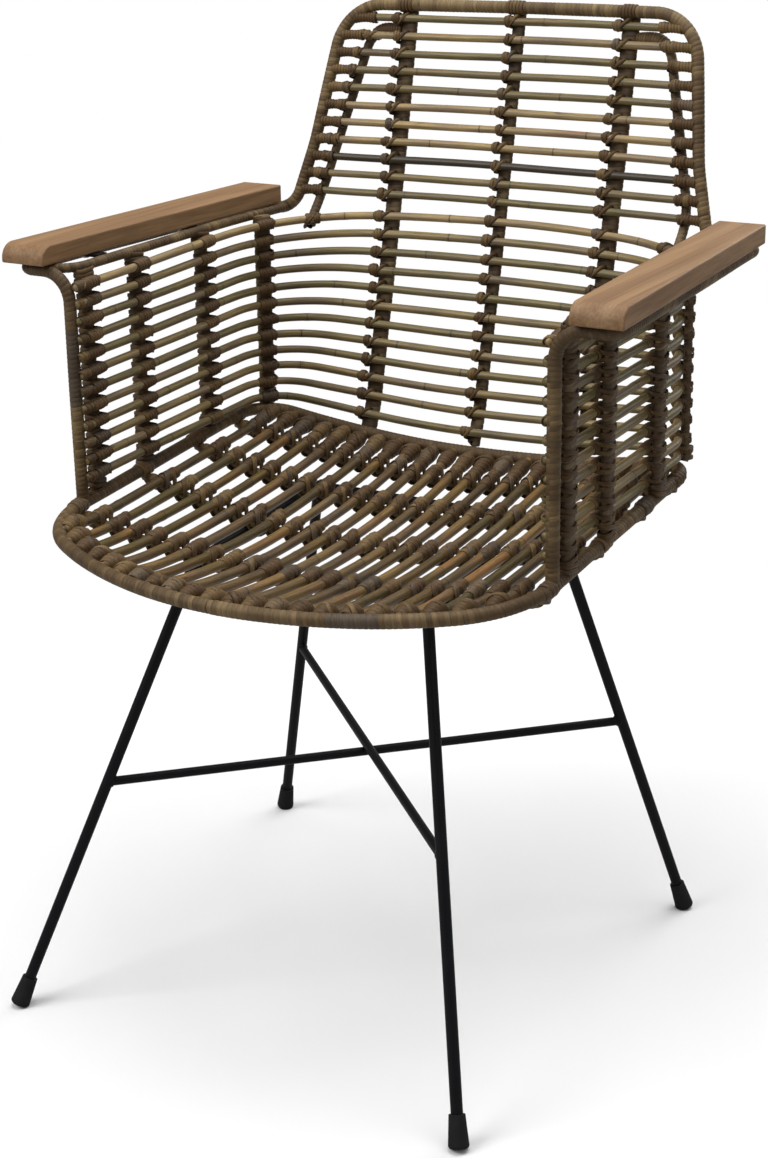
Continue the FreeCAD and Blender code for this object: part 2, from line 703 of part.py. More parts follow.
def hoop_wire():
    """From the left armrest round the back of it, up, over the top and down to the right one."""
    depth = bow_depth()
    level = loop_height()
    foot = bowed_setback(cane_setback(level), depth, hoop_foot_half_width())
    waist = level + (back_top_height() - level) * HOOP_WAIST_SHARE
    top = cane_setback(back_top_height() - size["nest_gap"]) + size["hoop_rail_setback"]
    joint = loop_joint_setback()
    right = [
        VECTOR(loop_half_width(joint), joint, level),
        VECTOR(loop_half_width(foot), foot, level),
        VECTOR(hoop_foot_half_width(), foot, level),
        VECTOR(size["hoop_waist_half_width"],
               bowed_setback(cane_setback(waist), depth, size["hoop_waist_half_width"]), waist),
        VECTOR(size["hoop_top_half_width"],
               bowed_setback(top, depth, size["hoop_top_half_width"]), back_top_height()),
    ]
    middle = VECTOR(0, bowed_vertex(top, depth), back_top_height())
    points = right + [middle] + [mirrored(point) for point in reversed(right)]
    radii = ("loop_corner_radius", "hoop_foot_radius", "hoop_waist_radius", "hoop_corner_radius")
    reaches = {len(right): bow_reach(middle, right[-1])}
    for index, radius in enumerate(radii, start=1):
        reach = reach_of(size[radius], *points[index - 1:index + 2])
        reaches[index] = reaches[len(points) - 1 - index] = reach
    return rounded_path(points, reaches)


def make_hoop():
    hoop = rod("back_hoop", hoop_path, "hoop_rod_dia")
    keep("back_hoop", [hoop])
    return hoop


def straight_cane_points(height):
    """Middle vertex and right-hand end of a straight cane's line."""
    return VECTOR(0, bowed_vertex(cane_setback(height), bow_depth()), height), right_point(hoop_path, height)


def straight_cane_setback(x, height):
    """Centre line of a straight cane beside the main stakes."""
    middle, end = straight_cane_points(height)
    return middle.y + (end.y - middle.y) * x / end.x


def upper_cane_first_height():
    return top_wrap_height() + size["upper_cane_first_rise"]


def make_upper_canes():
    """Straight canes across the upper back, from one side of the hoop to the other."""
    first = upper_cane_first_height()
    room = back_top_height() - size["upper_cane_last_drop"] - first
    steps = int(room / size["upper_cane_pitch"] + 0.5)
    step = room / steps
    rods = []
    for number in range(steps + 1):
        height = first + step * number
        middle, end = straight_cane_points(height)
        path = rounded_path([end, middle, mirrored(end)], {1: bow_reach(middle, end)})
        rods.append(rod(f"upper_cane_{number + 1}", path, "upper_cane_dia"))
    keep("upper_back_canes", [cut("upper_canes", group("upper_canes", rods), hoop)])


def stake_offset(diameter):
    """From the canes' centre line to the centre line of a stake behind them."""
    return (size["wrap_cane_dia"] + size[diameter]) / 2 + size["nest_gap"]


def make_back_stakes():
    """Three stakes of two canes each, from behind the rim up to the hoop's top rail."""
    frame = group("rim_and_hoop", [rim, hoop])
    stakes = {}
    for name, x, diameter in (
        ("back_stake_left", -size["main_stake_half_width"], "stake_dia"),
        ("back_stake_centre", 0, "centre_stake_dia"),
        ("back_stake_right", size["main_stake_half_width"], "stake_dia"),
    ):
        shift = -bow_depth() * (x / size["main_stake_half_width"]) ** 2
        pair = []
        for half, sign in SIDES:
            path = back_path(x + sign * size[diameter] / 2, shift, stake_offset(diameter))
            pair.append(rod(f"{name}_{half}", path, diameter))
        stakes[name] = cut(name, group(name, pair), frame)
        keep(name, [stakes[name]])
    return stakes


def make_side_stakes(stakes):
    """One cane up each side of the back, which turns in to the main stake near the top."""
    behind = stake_offset("side_stake_dia")
    foot_x = hoop_foot_half_width() - size["side_stake_foot_inset"]
    top_x = size["hoop_top_half_width"] - size["side_stake_top_inset"]
    join = back_top_height() - size["side_stake_join_drop"]
    top_wrap = wrap_paths[0]
    foot = max(crossings(top_wrap, 0, foot_x), key=lambda point: point.y)
    knee = upper_cane_first_height()
    inner_x = size["main_stake_half_width"] + size["stake_dia"] / 2
    right = [
        foot + VECTOR(0, behind, -size["wrap_cane_dia"]),
        VECTOR(foot_x, straight_cane_setback(foot_x, knee) + behind, knee),
        VECTOR(top_x, straight_cane_setback(top_x, join) + behind, join),
        VECTOR(inner_x, straight_cane_setback(inner_x, join) + behind, join),
    ]
    for side, sign in SIDES:
        points = right if sign > 0 else [mirrored(point) for point in right]
        reaches = {
            1: (points[1] - points[0]).Length * RAIL_BEND_SHARE,
            2: reach_of(size["side_stake_bend_radius"], *points[1:4]),
        }
        name = f"side_stake_{side}"
        cane = rod(name, rounded_path(points, reaches), "side_stake_dia")
        seats = group(name + "_seats", [stakes[f"back_stake_{side}"], wraps[0]])
        keep(name, [cut(name, cane, seats)])


# Wrap-round canes

def arm_stake_half_width():
    return size["seat_half_width"] + size["arm_stake_outset"]


def corner_stake_place(height):
    """A corner stake's centre, on the right of the chair."""
    x = size["seat_half_width"] - size["corner_stake_inset"]
    return VECTOR(x, size["seat_rear_setback"] - size["corner_stake_advance"], height)


def wrap_half_width():
    return arm_stake_half_width() - stake_offset("stake_dia")


def top_wrap_height():
    """The highest wrap-round cane at the middle of the back."""
    return armrest_top() - size["wrap_top_back_drop"]


def wrap_levels(share):
    """Heights of one cane at the arm's front, the rear corner and the middle of the back."""
    rims = {
        "front": rim_plane(-size["arm_front_reach"]),
        "corner": size["rim_rear_height"],
        "back": size["rim_rear_height"] - size["rim_rear_sag"],
    }
    levels = []
    for place, rim_height in rims.items():
        high = armrest_top() - size[f"wrap_top_{place}_drop"]
        low = rim_height + size[f"wrap_low_{place}_rise"]
        levels.append(high + (low - high) * share)
    return levels


def corner_reach(before, vertex, after):
    """Reach of the corner arc that passes just inside the corner stake."""
    stake = corner_stake_place(vertex.z)
    inward = (towards(vertex, before) + towards(vertex, after)).normalize()
    half_turn = turn_angle(before, vertex, after) / 2
    stretch = 1 / math.cos(half_turn)
    lead = (stake - vertex).dot(inward)
    clearance = stake_offset("stake_dia")
    middle = stretch * lead + clearance
    bend = stretch ** 2 - 1
    spare = middle ** 2 - bend * ((stake - vertex).Length ** 2 - clearance ** 2)
    radius = (middle + math.sqrt(spare)) / bend
    return radius * math.tan(half_turn)


def wrap_wire(share):
    """One cane from arm to arm, given its place from the highest (0) to the lowest (1)."""
    front_level, corner_level, back_level = wrap_levels(share)
    wide = wrap_half_width()
    stake = size["main_stake_half_width"]
    slope = (corner_level - back_level) / (wide - stake / 2)
    at_stake = back_level + slope * stake / 2
    middle_y = cane_setback(back_level)
    depth = middle_y - cane_setback(at_stake) + bow_depth()
    front = VECTOR(wide, -size["arm_front_reach"], front_level)
    corner = VECTOR(wide, bowed_setback(middle_y, depth, wide), corner_level)
    middle = VECTOR(0, bowed_vertex(middle_y, depth), back_level - slope * stake / 2)
    points = [front, corner, middle, mirrored(corner), mirrored(front)]
    reach = corner_reach(front, corner, middle)
    return rounded_path(points, {1: reach, 2: bow_reach(middle, corner), 3: reach})


def make_wraps():
    rods = []
    both_loops = group("arm_loops", list(loops.values()))
    for number, path in enumerate(wrap_paths, start=1):
        name = f"wrap_cane_{number}"
        rods.append(rod(name, path, "wrap_cane_dia"))
        keep(name, [cut(name, rods[-1], both_loops)])
    return rods


# Arms

def make_loops():
    """The front upright of each arm, bent out and back under the armrest to meet the hoop."""
    made = {}
    for side, sign in SIDES:
        front = -size["arm_front_reach"]
        joint = loop_joint_setback()
        level = loop_height()
        wide = size["seat_half_width"]
        points = [
            VECTOR(sign * wide, front, rim_plane(front)),
            VECTOR(sign * wide, front, level),
            VECTOR(sign * loop_half_width(front), front, level),
            VECTOR(sign * loop_half_width(joint), joint, level),
        ]
        reaches = {
            index: reach_of(size[radius], *points[index - 1:index + 2])
            for index, radius in ((1, "loop_top_radius"), (2, "loop_corner_radius"))
        }
        name = f"arm_loop_{side}"
        made[side] = cut(name, rod(name, rounded_path(points, reaches), "hoop_rod_dia"), rim)
        keep(name, [made[side]])
    return made


def rail_height():
    under_board = armrest_top() - size["board_thickness"]
    return under_board - size["fit_clearance"] - size["arm_rail_dia"] / 2


def make_rails():
    """The inner rail of each arm, from the loop's front bend to the hoop behind."""
    made = {}
    level = rail_height()
    front = -size["arm_front_reach"]
    rear = bowed_setback(cane_setback(loop_height()), bow_depth(), hoop_foot_half_width())
    start_x = size["seat_half_width"] + size["loop_top_radius"]
    for side, sign in SIDES:
        wide = sign * arm_stake_half_width()
        points = [
            VECTOR(sign * start_x, front, level),
            VECTOR(wide, front + size["arm_rail_front_run"], level),
            VECTOR(wide, size["seat_rear_setback"] - size["arm_rail_bend_advance"], level),
            VECTOR(sign * (size["seat_half_width"] - size["arm_rail_rear_inset"]), rear, level),
        ]
        reaches = {
            1: (points[1] - points[0]).Length * RAIL_BEND_SHARE,
            2: (points[3] - points[2]).Length * RAIL_BEND_SHARE,
        }
        name = f"arm_rail_{side}"
        ends = group(name + "_ends", [loops[side], hoop])
        made[side] = cut(name, rod(name, rounded_path(points, reaches), "arm_rail_dia"), ends)
        keep(name, [made[side]])
    return made


def stake_pair(name, foot, top, along, seats):
    """Two upright canes side by side, coped against what they stand on and under."""
    shift = along * (size["stake_dia"] / 2)
    pair = [
        rod(f"{name}_{number}", straight(foot + shift * way, top + shift * way), "stake_dia")
        for number, way in enumerate((-1, 1), start=1)
    ]
    keep(name, [cut(name, group(name, pair), group(name + "_seats", seats))])


def make_arm_stakes():
    front = -size["arm_front_reach"]
    corner = corner_stake_place(0)
    run = corner.y - front
    for side, sign in SIDES:
        seats = [rim, rails[side]]
        for number, share in enumerate(ARM_STAKE_SHARES, start=1):
            y = front + run * share
            x = sign * arm_stake_half_width()
            foot = VECTOR(x, y, rim_plane(y))
            top = VECTOR(x, y, rail_height())
            stake_pair(f"arm_stake_{side}_{number}", foot, top, VECTOR(0, 1, 0), seats)
        foot = VECTOR(sign * corner.x, corner.y, rim_plane(corner.y))
        top = VECTOR(foot.x, foot.y, rail_height())
        along = VECTOR(-foot.x, arm_stake_half_width() * 2, 0).normalize()
        stake_pair(f"corner_stake_{side}", foot, top, along, seats)


def make_boards():
    """Wooden armrest boards with a rounded nose, on two steel tabs with a screw each."""
    tabs = []
    screws = []
    for side, sign in SIDES:
        name = f"armrest_board_{side}"
        mark = "-" if sign < 0 else ""
        front = (-board_front_reach(), "-(Sizes.arm_front_reach + Sizes.board_front_overhang)")
        rear = (board_length() - board_front_reach(), "Sizes.seat_rear_setback + Sizes.board_rear_overhang")
        across = []
        for edge, way in (
            ("board_inner_front_outset", 1),
            ("board_outer_front_outset", 1),
            ("board_outer_rear_outset", 1),
            ("board_inner_rear_inset", -1),
        ):
            value = sign * (size["seat_half_width"] + size[edge] * way)
            across.append((value, f"{mark}(Sizes.seat_half_width + Sizes.{edge} * {way})"))
        body = document.addObject("PartDesign::Body", name + "_body")
        pad = body.newObject("PartDesign::Pad", name + "_pad")
        pad.Profile = outline(body, name, "XY_Plane", list(zip(across, (front, front, rear, rear))))
        pad.setExpression("Length", "Sizes.board_thickness")
        top = "Sizes.rim_rear_height + Sizes.armrest_rise"
        body.setExpression("Placement.Base.z", top + " - Sizes.board_thickness")
        document.recompute()
        nose = rounded(body, name + "_nose", pad, "board_nose_radius", is_board_front)
        rounded(body, name + "_edges", nose, "board_edge_radius", lambda edge: True)
        places = board_screw_places(sign)
        bores = [screw_bore(f"{name}_{number}", place) for number, place in enumerate(places)]
        keep(name, [cut(name, body, group(name + "_bores", bores))])
        seats = group(name + "_seats", [rails[side], loops[side]])
        for number, place in enumerate(places, start=1):
            label = f"armrest_tab_{side}_{number}"
            tabs.append(cut(label + "_seated", tab(label, place, board_tab_length(place)), seats))
            screws.append(screw(f"armrest_screw_{side}_{number}", place))
    keep("armrest_tabs", tabs)
    keep("armrest_screws", screws)


def is_board_front(edge):
    box = edge.BoundBox
    at_top = box.ZMin > size["board_thickness"] / 2
    return at_top and box.YMax < -board_front_reach() + size["board_edge_radius"]


def board_tab_ends(y):
    lap = 1 - TAB_LAP_SHARE
    inner = arm_stake_half_width() + size["arm_rail_dia"] / 2 * lap
    outer = loop_half_width(y) - size["hoop_rod_dia"] / 2 * lap
    return inner, outer


def board_tab_length(place):
    inner, outer = board_tab_ends(place.y)
    return outer - inner


def board_screw_places(sign):
    """Where the armrest screws' heads bear, under the middles of the tabs."""
    under_board = armrest_top() - size["board_thickness"] - size["fit_clearance"]
    places = []
    for share in BOARD_TAB_SHARES:
        y = share * board_length() - board_front_reach()
        places.append(VECTOR(sign * sum(board_tab_ends(y)) / 2, y, under_board - size["tab_thickness"]))
    return places


def check_and_write():
    """Every object has to be sound before any sub-part is written."""
    document.recompute()
    faulty = [thing.Name for thing in document.Objects if "Invalid" in thing.State or "Error" in thing.State]
    for node in sub_parts:
        if node.Shape.isNull() or not node.Shape.isValid() or not node.Shape.Solids:
            faulty.append(node.Label)
    if faulty:
        raise RuntimeError("unsound objects: " + ", ".join(faulty))
    os.makedirs("parts", exist_ok=True)
    for node in sub_parts:
        node.Shape.exportStep(f"parts/{node.Label}.step")
        print(f"{node.Label}: {len(node.Shape.Solids)} solids, {node.Shape.Volume:.0f} mm3")
    print(f"{len(sub_parts)} sub-parts")


back_line = back_path(0, 0, 0)
rim_path = rim_wire()
hoop_path = hoop_wire()
wrap_paths = [wrap_wire(number / (WRAP_CANE_COUNT - 1)) for number in range(WRAP_CANE_COUNT)]

rim = make_rim()
make_slats()
make_crossbars()
make_base()
hoop = make_hoop()
loops = make_loops()
rails = make_rails()
wraps = make_wraps()
make_upper_canes()
make_side_stakes(make_back_stakes())
make_arm_stakes()
make_boards()
check_and_write()
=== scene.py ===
"""Looks of a rattan tub armchair with wooden armrest boards on a black steel rod base.

Sizes are in metres. Reaches and setbacks are counted from the middle of the four feet,
which lies ORIGIN_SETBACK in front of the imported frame's origin.
"""

import logging
import math
from dataclasses import dataclass, field
from enum import Enum

import bpy
import numpy as np
from mathutils import Matrix, Vector


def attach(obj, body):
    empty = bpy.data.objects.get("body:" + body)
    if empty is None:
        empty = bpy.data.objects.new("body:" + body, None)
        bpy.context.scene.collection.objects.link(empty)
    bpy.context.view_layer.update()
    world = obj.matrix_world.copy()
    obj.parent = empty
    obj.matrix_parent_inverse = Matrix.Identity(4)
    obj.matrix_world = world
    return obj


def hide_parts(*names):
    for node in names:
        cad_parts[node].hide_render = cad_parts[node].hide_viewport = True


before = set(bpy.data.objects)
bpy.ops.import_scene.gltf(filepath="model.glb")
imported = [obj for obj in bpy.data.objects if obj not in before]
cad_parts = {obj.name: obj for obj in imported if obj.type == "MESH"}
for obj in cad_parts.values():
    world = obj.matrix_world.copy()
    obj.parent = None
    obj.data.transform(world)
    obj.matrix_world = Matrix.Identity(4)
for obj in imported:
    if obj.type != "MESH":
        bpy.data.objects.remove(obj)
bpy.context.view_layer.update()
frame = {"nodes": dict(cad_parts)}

LOG = logging.getLogger("armchair")
BODY = "root"
ORIGIN_SETBACK = 0.045
COIL_PITCH = 0.0030
FULL_BULGE = 0.7
PHASE_SPAN = 6.3
UP = np.array((0.0, 0.0, 1.0))
FORWARD = np.array((0.0, -1.0, 0.0))
SLAT_AXES = (np.array((1.0, 0.0, 0.0)), UP, np.array((0.0, 1.0, 0.0)))
SIDES = (("left", -1.0), ("right", 1.0))
Colour = tuple[float, float, float]
Triple = tuple[float, float, float]
Range = tuple[float, float]
Coil = tuple[float, float, float, float]
Array = np.ndarray
Rng = np.random.Generator
Material = bpy.types.Material


class Slot(Enum):
    """The record's material slots."""

    RATTAN = "rattan_cane"
    STAKE = "stake_cane"
    WRAP = "wrapped_rod"
    WOOD = "armrest_wood"
    STEEL = "black_steel"
    SCREW = "screw_steel"
    RUBBER = "foot_rubber"


def unit(vectors: Array) -> Array:
    """The same directions at length one."""
    return vectors / np.linalg.norm(vectors, axis=-1, keepdims=True)


def point(x: float, y: float, z: float) -> Array:
    """A place or a direction."""
    return np.array((x, y, z), float)


def mirrored(place: Array) -> Array:
    """The place on the other side of the chair's middle plane."""
    return place * np.array((-1.0, 1.0, 1.0))


def turn_of(before: Array, vertex: Array, after: Array) -> float:
    """How far a line turns at a vertex, in radians."""
    cosine = float(np.dot(unit(vertex - before), unit(after - vertex)))
    return math.acos(max(-1.0, min(1.0, cosine)))


def reach_of(radius: float, before: Array, vertex: Array, after: Array) -> float:
    """Distance from a vertex to the ends of a tangent arc of this radius."""
    return radius * math.tan(turn_of(before, vertex, after) / 2)


def reaches_of(radii: dict[int, float], points: list) -> dict[int, float]:
    """Distance from each of these corners to the ends of its arc, from the arcs' radii."""
    return {index: reach_of(radius, *points[index - 1 : index + 2]) for index, radius in radii.items()}


class Line:
    """A centre line, sampled closely enough to be read at any length along it."""

    SPACING = 0.002
    FRAME_SPACING = 0.004
    BEND_SAMPLES = 120
    SAME_PLACE = 1e-9
    STRAIGHT = 1e-6
    NO_SPAN = 1e-12
    NO_BEND = 1e-14

    def __init__(self, places: Array) -> None:
        """Samples the line.

        Args:
            places: rows of its places in order.
        """
        places = np.asarray(places, float)
        steps = np.linalg.norm(np.diff(places, axis=0), axis=1)
        places = places[np.concatenate(([True], steps > self.SAME_PLACE))]
        run = np.concatenate(([0.0], np.cumsum(np.linalg.norm(np.diff(places, axis=0), axis=1))))
        self.length = float(run[-1])
        even = np.linspace(0.0, self.length, max(3, int(self.length / self.SPACING)))
        self.run = np.unique(np.concatenate([run, even]))
        self.places = np.stack([np.interp(self.run, run, places[:, axis]) for axis in range(3)], axis=1)

    @classmethod
    def rounded(cls, vertices: list, reaches: dict[int, float], closed: bool = False) -> "Line":
        """A line through the vertices, with a tangent arc at each one that has a reach.

        Args:
            vertices: the corners of the line.
            reaches: distance from a corner to the ends of its arc, by the corner's index.
            closed: whether the last corner joins the first.

        Returns:
            The sampled line.
        """
        places = []
        count = len(vertices)
        for index, vertex in enumerate(vertices):
            if index not in reaches:
                places.append(vertex)
                continue
            before = unit(vertices[index - 1] - vertex)
            after = unit(vertices[(index + 1) % count] - vertex)
            reach = reaches[index]
            half_turn = turn_of(vertex + before, vertex, vertex + after) / 2
            if half_turn < cls.STRAIGHT:
                places.append(vertex)
                continue
            radius = reach / math.tan(half_turn)
            centre = vertex + unit(before + after) * radius / math.cos(half_turn)
            start, end = vertex + before * reach - centre, vertex + after * reach - centre
            whole = 2 * half_turn
            number = max(6, int(radius * whole / cls.SPACING))
            for share in np.linspace(0.0, 1.0, number):
                swing = math.sin((1 - share) * whole) * start + math.sin(share * whole) * end
                places.append(centre + swing / math.sin(whole))
        if closed:
            places.append(places[0])
        return cls(np.array(places))

    @classmethod
    def bent(cls, start: Array, middle: Array, end: Array) -> "Line":
        """A shallow bend through three places.

        Args:
            start: the first place.
            middle: the place halfway.
            end: the last place.

        Returns:
            The sampled line.
        """
        share = np.linspace(0.0, 1.0, cls.BEND_SAMPLES)[:, None]
        near, far = (1 - share) * (1 - 2 * share), share * (2 * share - 1)
        return cls(start * near + middle * 4 * share * (1 - share) + end * far)

    def at(self, run: float | Array) -> Array:
        """The place or places at these lengths along the line."""
        run = np.asarray(run, float)
        return np.stack([np.interp(run, self.run, self.places[:, axis]) for axis in range(3)], axis=-1)

    def tangent(self, run: float | Array) -> Array:
        """The line's direction at these lengths.

        Args:
            run: lengths along the line.

        Returns:
            Unit directions.
        """
        run = np.asarray(run, float)
        low = np.clip(run - self.SPACING, 0, self.length)
        high = np.clip(run + self.SPACING, 0, self.length)
        return unit(self.at(high) - self.at(low))

    def crossings(self, axis: int, value: float) -> Array:
        """Lengths along the line at which a coordinate has this value.

        Args:
            axis: index of the coordinate.
            value: its value.

        Returns:
            The lengths, from the start.
        """
        offset = self.places[:, axis] - value
        index = np.nonzero(offset[:-1] * offset[1:] <= 0)[0]
        span = offset[index] - offset[index + 1]
        share = np.where(np.abs(span) > self.NO_SPAN, offset[index] / np.where(span == 0, 1, span), 0)
        return self.run[index] + share * (self.run[index + 1] - self.run[index])

    def nearest(self, place: Array) -> float:
        """Length along the line at the place nearest to this one."""
        return float(self.run[np.argmin(np.linalg.norm(self.places - place, axis=1))])

    def normals(self, run: Array, reference: Array, carried: bool = False) -> Array:
        """Directions square to the line.

        Args:
            run: lengths along the line.
            reference: the direction that the first normal leans towards.
            carried: whether normals follow the line without twist, instead of all leaning one way.

        Returns:
            One normal for each length.
        """
        tangents = self.tangent(run)
        if carried:
            grid = np.linspace(0, self.length, max(4, int(self.length / self.FRAME_SPACING)))
            spine, along = self.at(grid), self.tangent(grid)
            normal = unit(reference - along[0] * np.dot(reference, along[0]))
            chain = [normal]
            for index in range(len(grid) - 1):
                step = spine[index + 1] - spine[index]
                scale = 2 / np.dot(step, step)
                moved = normal - scale * np.dot(step, normal) * step
                turned = along[index] - scale * np.dot(step, along[index]) * step
                bend = along[index + 1] - turned
                size = np.dot(bend, bend)
                normal = moved if size < self.NO_BEND else moved - 2 / size * np.dot(bend, moved) * bend
                chain.append(normal)
            chain = np.array(chain)
            lean = np.stack([np.interp(run, grid, chain[:, axis]) for axis in range(3)], axis=-1)
        else:
            lean = np.broadcast_to(reference, tangents.shape)
        return unit(lean - tangents * np.sum(lean * tangents, axis=-1, keepdims=True))


@dataclass(frozen=True)
class ChairLines:
    """Centre lines of the chair's canes and rods, from the sizes that they share."""

    seat_half_width: float = 0.229
    seat_front_reach: float = 0.218
    seat_rear_setback: float = 0.208
    rim_rear_height: float = 0.4514
    rim_front_drop: float = 0.0319
    rim_front_radius: float = 0.335
    rim_side_reach: float = 0.080
    rim_rear_corner_radius: float = 0.040
    rim_rear_sag: float = 0.0206
    rim_sag_half_width: float = 0.180
    rim_front_sag: float = 0.0014
    rim_rod_dia: float = 0.012
    seat_dish: float = 0.0347
    slat_dia: float = 0.0085
    slat_pitch: float = 0.0195
    crossbar_dia: float = 0.009
    crossbar_shares: tuple = (0.31, 0.54, 0.74, 0.90)
    nest_gap: float = 0.0004
    back_foot_drop: float = 0.0264
    back_foot_gap: float = 0.005
    back_knee_rise: float = 0.0106
    back_mid_rise: float = 0.178
    back_top_rise: float = 0.168
    back_lean_angles: tuple = (23.4, 13.6, 12.1)
    back_knee_radius: float = 0.120
    back_mid_radius: float = 0.700
    back_bow_radius: float = 1.390
    main_stake_half_width: float = 0.113
    stake_dia: float = 0.0085
    centre_stake_dia: float = 0.0066
    side_stake_dia: float = 0.009
    side_stake_foot_inset: float = 0.025
    side_stake_top_inset: float = 0.0265
    side_stake_join_drop: float = 0.024
    side_stake_bend_radius: float = 0.022
    hoop_rod_dia: float = 0.0115
    hoop_foot_inset: float = 0.015
    hoop_waist_half_width: float = 0.1975
    hoop_waist_share: float = 0.335
    hoop_top_half_width: float = 0.1785
    hoop_corner_radius: float = 0.047
    hoop_waist_radius: float = 0.180
    hoop_foot_radius: float = 0.024
    hoop_rail_setback: float = 0.004
    upper_cane_dia: float = 0.007
    upper_cane_pitch: float = 0.016
    upper_cane_first_rise: float = 0.018
    upper_cane_last_drop: float = 0.012
    wrap_cane_dia: float = 0.0075
    wrap_count: int = 12
    wrap_top_drops: tuple = (0.035, 0.029, 0.022)
    wrap_low_rises: tuple = (0.0242, 0.0101, 0.0152)
    arm_front_reach: float = 0.080
    arm_stake_outset: float = 0.002
    arm_stake_shares: tuple = (0.083, 0.337, 0.696)
    corner_stake_inset: float = 0.0095
    corner_stake_advance: float = 0.0005
    arm_rail_dia: float = 0.009
    arm_rail_bend_advance: float = 0.043
    arm_rail_rear_inset: float = 0.007
    arm_rail_front_run: float = 0.016
    rail_bend_share: float = 0.45
    loop_top_radius: float = 0.026
    loop_corner_radius: float = 0.014
    loop_inset: float = 0.0095
    loop_joint_advance: float = 0.058
    board_thickness: float = 0.017
    armrest_rise: float = 0.2076
    board_front_overhang: float = 0.013
    board_rear_overhang: float = 0.0455
    board_outer_outsets: tuple = (0.0613, 0.0399)
    fit_clearance: float = 0.0002

    # Heights and half widths

    def armrest_top(self) -> float:
        """Top of the armrest boards."""
        return self.rim_rear_height + self.armrest_rise

    def back_top(self) -> float:
        """Centre line of the hoop's top rail."""
        return self.armrest_top() + self.back_top_rise

    def rim_plane(self, y: float) -> float:
        """Height of the plane through the rim's front, sides and rear corners.

        Args:
            y: setback.

        Returns:
            The height.
        """
        depth = self.seat_rear_setback + self.seat_front_reach
        front = self.rim_rear_height - self.rim_front_drop
        return front + self.rim_front_drop * (y + self.seat_front_reach) / depth

    def dish_half_width(self) -> float:
        """Half of the seat's width between the rim's sides."""
        return self.seat_half_width - self.rim_rod_dia / 2

    def seat_height(self, x: float, y: float) -> float:
        """Height of the slats' centre lines.

        Args:
            x: distance from the middle.
            y: setback.

        Returns:
            The height.
        """
        front_drop = self.seat_dish - self.rim_front_sag
        rear_drop = self.seat_dish - self.rim_rear_sag
        lean = math.sqrt(front_drop / rear_drop)
        low_point = (lean * self.seat_rear_setback - self.seat_front_reach) / (1 + lean)
        rear_run = self.seat_rear_setback - low_point
        depth = self.seat_dish - rear_drop * ((y - low_point) / rear_run) ** 2
        return self.rim_plane(y) - depth * (1 - (x / self.dish_half_width()) ** 2)

    def crossbar_setback(self, share: float) -> float:
        """Place of a crossbar, from front to rear."""
        return share * (self.seat_rear_setback + self.seat_front_reach) - self.seat_front_reach

    def crossbar_drop(self) -> float:
        """From the slats' centre lines down to the crossbars'."""
        return (self.slat_dia + self.crossbar_dia) / 2 + self.nest_gap

    def loop_level(self) -> float:
        """Centre line of the rod under the outer edge of the armrest."""
        return self.armrest_top() - self.board_thickness - self.fit_clearance - self.hoop_rod_dia / 2

    def rail_level(self) -> float:
        """Centre line of the inner arm rail."""
        return self.armrest_top() - self.board_thickness - self.fit_clearance - self.arm_rail_dia / 2

    def loop_half_width(self, y: float) -> float:
        """The loop follows the outer edge of the armrest board.

        Args:
            y: setback.

        Returns:
            The loop's half width there.
        """
        front = self.arm_front_reach + self.board_front_overhang
        length = front + self.seat_rear_setback + self.board_rear_overhang
        first, last = self.board_outer_outsets
        return self.seat_half_width + first + (last - first) * (y + front) / length - self.loop_inset

    def loop_joint(self) -> float:
        """Where the arm loop meets the hoop."""
        return self.seat_rear_setback - self.loop_joint_advance

    def hoop_foot_half_width(self) -> float:
        """The hoop where it turns up from the arm."""
        return self.seat_half_width - self.hoop_foot_inset

    def bow_depth(self) -> float:
        """How far the main stakes stand in front of the middle of the back."""
        return self.main_stake_half_width**2 / (2 * self.back_bow_radius)

    def bowed(self, middle_y: float, depth: float, x: float) -> float:
        """The straight run outside the main stakes, tangent to the bow between them."""
        return middle_y + depth - 2 * depth * x / self.main_stake_half_width

    def bow_reach(self, middle: Array, outer: Array) -> float:
        """Reach of the bow from the middle vertex, which ends at the main stakes."""
        return float(np.linalg.norm(outer - middle)) * self.main_stake_half_width / abs(outer[0])

    def behind(self, diameter: float) -> float:
        """From the canes' centre line to the centre line of a stake behind them."""
        return (self.wrap_cane_dia + diameter) / 2 + self.nest_gap

    def arm_stake_half_width(self) -> float:
        """Centre line of the arm stakes and the inner arm rail."""
        return self.seat_half_width + self.arm_stake_outset

    def corner_stake(self, height: float) -> Array:
        """A corner stake's centre, on the right of the chair."""
        x = self.seat_half_width - self.corner_stake_inset
        return point(x, self.seat_rear_setback - self.corner_stake_advance, height)

    def first_upper_height(self) -> float:
        """The lowest straight cane of the upper back."""
        return self.armrest_top() - self.wrap_top_drops[2] + self.upper_cane_first_rise

    # Centre lines

